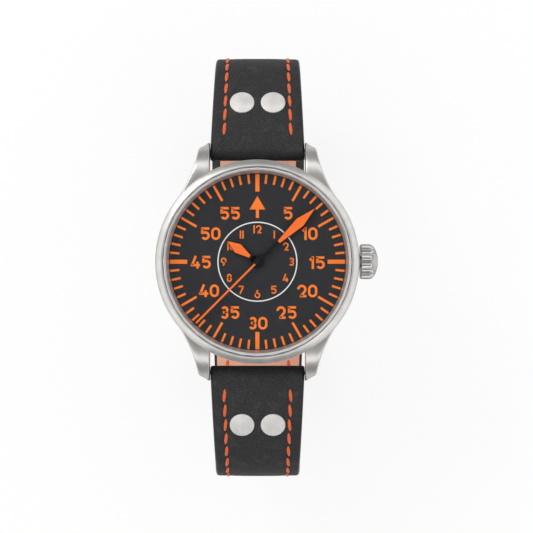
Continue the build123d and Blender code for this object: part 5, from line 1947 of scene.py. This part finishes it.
    def rivets(self, half: Half) -> None:
        """Two flat discs with rounded rims, their shanks and the caps that the lining hides.

        Args:
            half: The strap half.
        """
        shape = Shape()
        distance = half.outer.length(half.rivet_heading)
        _, step, _ = half.frame(distance)
        radius, height, rim, sink = self.rivet_radius, self.rivet_height, self.rivet_rim, self.rivet_sink
        head = [
            (0, -sink), (radius, -sink), (radius, height - rim), (radius - rim * 0.3, height - rim * 0.3),
            (radius - rim, height), (0, height + self.rivet_crown),
        ]
        low = half.lining - step.length + self.rivet_gap
        top, middle = low + self.cap_height, low + self.cap_height / 2
        cap = [(0, low), (self.cap_radius, low), (self.cap_radius, top), (0, top)]
        shank = [(0, middle), (self.shank_radius, middle), (self.shank_radius, -sink), (0, -sink)]
        for side in (-1, 1):
            place = half.seat(0, distance)
            place.translation.x = side * self.rivet_x
            for profile in (head, cap, shank):
                shape.absorb(Shape().spun(profile, self.rivet_facets).move(place))
        name = f"rivet_discs_{half.name}"
        self.add(shape.outward(), name, "rivet_steel", "case", "polished_steel", [f"rivets_{half.name}"])

    def keeper_outline(self, grow: float) -> list[Point]:
        """Section of a keeper's inner or outer face.

        Args:
            grow: How far it lies outside the inner face.

        Returns:
            X of each corner and its distance from the wrist's centre.
        """
        half, low, high = self.keeper_half + grow, self.keeper_low - grow, self.keeper_high + grow
        cut = self.keeper_corner + grow
        right = [(half - cut, low), (half, low + cut), (half, high - cut), (half - cut, high)]
        return right + [(-x, radius) for x, radius in reversed(right)]

    def keeper(self, node: str, body: str, middle_y: float) -> None:
        """Leather loop round both straps, with rounded edges and a tan band towards the wrist.

        Args:
            node: The CAD node that it replaces.
            body: The body it rides on.
            middle_y: Where its middle lies along Y.
        """
        shape = Shape()
        turn = self.keeper_length / self.tail_radius
        first = math.asin(middle_y / self.tail_radius) - turn / 2
        edges = []
        for grow in (0, self.keeper_wall):
            outline = self.keeper_outline(grow)
            ring = shape.loop((x, 0, self.under_centre - radius) for x, radius in outline)
            edges += of_kind(ring, bmesh.types.BMEdge)
        bmesh.ops.bridge_loops(shape.bm, edges=edges)
        centre = (0, 0, self.under_centre)
        bmesh.ops.rotate(shape.bm, verts=shape.bm.verts, cent=centre, matrix=Matrix.Rotation(first, 3, "X"))
        bmesh.ops.spin(
            shape.bm, geom=shape.geometry, cent=centre, axis=X_AXIS, angle=turn, steps=self.keeper_steps,
            use_normal_flip=False,
        )
        inner = [f for f in shape.bm.faces if all(len(e.link_faces) > 2 for e in f.edges)]
        if inner:
            bmesh.ops.delete(shape.bm, geom=inner, context="FACES_ONLY")
        shape.outward().bevel(self.keeper_rounding, self.keeper_angle, segments=3)
        piece = self.add(shape, f"{node}_loop", "black_leather", body, "strap_leather", [node])
        wrist_side = self.keeper_low - self.keeper_wall * self.keeper_inner_share

        def faces_wrist(face: bpy.types.MeshPolygon) -> bool:
            """Whether a face lies in the middle of the wrist's side."""
            reach = math.hypot(face.center.y, face.center.z - self.under_centre)
            return reach < wrist_side and abs(face.center.x) < self.keeper_half * self.keeper_tan_share

        self.repaint(piece, "tan_leather", faces_wrist)

    def build(self) -> None:
        """Builds both halves and the keepers."""
        for half in self.halves():
            self.layers(half)
            self.stitches(half)
            self.rivets(half)
        self.keeper("fixed_keeper", "case", self.fixed_keeper_y)
        self.keeper("sliding_keeper", "loose_keeper", self.sliding_keeper_y)


@dataclass
class Kept(Assembly):
    """The CAD nodes that stay in view, with their own finish and softened edges."""

    finishes_by_node: tuple[tuple[str, tuple[str, ...]], ...] = (
        ("polished_steel", ("buckle_frame", "buckle_tongue")),
        ("tool_steel", (
            "buckle_bar", "crown_tube", "winding_stem", "center_tube", "barrel_arbor", "ratchet_wheel",
            "crown_wheel", "escape_wheel", "pallet_fork", "cannon_pinion", "winding_pinion", "sliding_clutch",
            "rotor_post", "spring_bar_12", "spring_bar_6")),
        ("striped_nickel", ("barrel_bridge", "train_bridge", "rotor")),
        ("plate_nickel", ("movement_ring", "main_plate", "balance_cock", "pallet_bridge")),
        ("gilt_brass", (
            "barrel", "great_wheel", "third_wheel", "fourth_wheel", "balance_wheel", "minute_wheel",
            "hour_wheel")),
        ("ruby", ("jewels",)),
        ("blued_steel", ("hairspring",)),
        # Pale nylon grey with painted light, against the shade under the bezel.
        ("gasket_grey_painted_light", ("crystal_gasket",)),
        ("black_rubber", ("back_gasket", "crown_gasket")),
        ("dial_black", ("dial",)),
    )
    softened: tuple[tuple[str, float], ...] = (
        ("buckle_frame", 0.12 * MM), ("buckle_tongue", 0.12 * MM), ("rotor", 0.05 * MM),
        ("train_bridge", 0.05 * MM), ("balance_cock", 0.05 * MM),
    )
    sharp_angle: float = 28.0

    def soften(self, name: str, width: float) -> None:
        """Joins a node's loose triangles and rounds its sharp edges, by modifiers.

        Args:
            name: The node.
            width: Width of the rounding.
        """
        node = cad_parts[name]
        weld = node.modifiers.new("weld", "WELD")
        weld.merge_threshold = WELD_DISTANCE * 10
        round_edges(node, width, self.sharp_angle)
        for polygon in node.data.polygons:
            polygon.use_smooth = True

    def build(self) -> None:
        """Dresses every node that is still shown."""
        for finish, names in self.finishes_by_node:
            for name in names:
                self.finishes.dress(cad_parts[name], finish)
        for name, width in self.softened:
            self.soften(name, width)
        log.info("dressed %d kept nodes", sum(len(names) for _, names in self.finishes_by_node))


@dataclass
class Studio:
    """Floor, lamps, world and the camera at the photograph's angle."""

    camera_place: tuple[float, float, float] = (1.88 * MM, -0.99 * MM, 448.5 * MM)
    camera_clip: Point = (0.01, 20.0)
    lens: float = 144.0
    sensor: float = 36.0
    floor_size: float = 4.0
    floor_gap: float = 0.02 * MM
    floor_colour: Colour = (0.9, 0.9, 0.9, 1.0)
    floor_glow: float = 0.82
    floor_roughness: float = 0.9
    side_place: Point = (0.55, 0.36)
    side_panel: Point = (1.6, 0.45)
    side_power: float = 2.3
    end_place: Point = (0.36, 0.5)
    end_panel: Point = (0.8, 0.25)
    end_power: float = 0.9
    key_place: tuple[float, float, float] = (-0.34, 0.34, 0.42)
    key_panel: Point = (0.2, 0.2)
    key_power: float = 0.9
    world_level: float = 0.38

    def camera(self) -> None:
        """Camera that looks straight down at the dial."""
        data = bpy.data.cameras.new("camera")
        data.lens, data.sensor_width = self.lens, self.sensor
        data.clip_start, data.clip_end = self.camera_clip
        bpy.context.scene.camera = show("camera", data)
        bpy.context.scene.camera.location = self.camera_place

    def floor(self) -> None:
        """Pale floor under the strap, which the camera and reflections see nearly white."""
        shape = Shape()
        bmesh.ops.create_grid(shape.bm, x_segments=2, y_segments=2, size=self.floor_size / 2)
        shape.move(Matrix.Translation((0, 0, cad_low.z - self.floor_gap)))
        floor = shape.finish("floor", smooth=False)
        graph = Graph("floor_paper")
        graph.set(Base_Color=self.floor_colour, Roughness=self.floor_roughness)
        rays = graph.add("ShaderNodeLightPath").outputs
        camera, glossy, through = (Socket(graph, rays[f"Is {kind} Ray"]) for kind in (
            "Camera", "Glossy", "Transmission"))
        white = graph.add("ShaderNodeEmission", None, {"Color": (1, 1, 1, 1), "Strength": 1.0})
        graph.blend((camera + glossy + through) * self.floor_glow, graph.shader, white)
        floor.data.materials.append(graph.material)

    def lamp(self, name: str, place: Sequence[float], size: Point, power: float) -> None:
        """Adds a soft rectangular lamp that faces the watch.

        Args:
            name: Its name.
            place: Where it hangs.
            size: Its width, which lies level, and its height.
            power: Its power in watts.
        """
        data = bpy.data.lights.new(name, "AREA")
        data.shape, data.size, data.size_y, data.energy = "RECTANGLE", *size, power
        lamp = show(name, data)
        lamp.location = place
        lamp.rotation_mode = "QUATERNION"
        lamp.rotation_quaternion = (-Vector(place)).to_track_quat("-Z", "Y")

    def build(self) -> None:
        """Sets up the whole studio."""
        scene = bpy.context.scene
        scene.view_settings.view_transform = "Standard"
        scene.world = bpy.data.worlds.new("studio")
        scene.world.use_nodes = True
        sky = scene.world.node_tree.nodes["Background"].inputs
        sky["Color"].default_value = (1, 1, 1, 1)
        sky["Strength"].default_value = self.world_level
        aside, height = self.side_place
        for name, x in (("left", -aside), ("right", aside)):
            self.lamp(name, (x, 0.0, height), self.side_panel, self.side_power)
        self.lamp("key", self.key_place, self.key_panel, self.key_power)
        away, height = self.end_place
        for name, y in (("rear", away), ("front", -away)):
            self.lamp(name, (0.0, y, height), self.end_panel, self.end_power)
        self.floor()
        self.camera()


def main() -> None:
    """Builds the watch and its studio."""
    logging.basicConfig(level=logging.INFO, format="%(name)s: %(message)s")
    finishes = Finishes()
    for assembly in (Head, Case, Crown, DialFace, Hands, Strap, Kept):
        assembly(finishes).build()
    Studio().build()


if __name__ == "__main__":
    main()
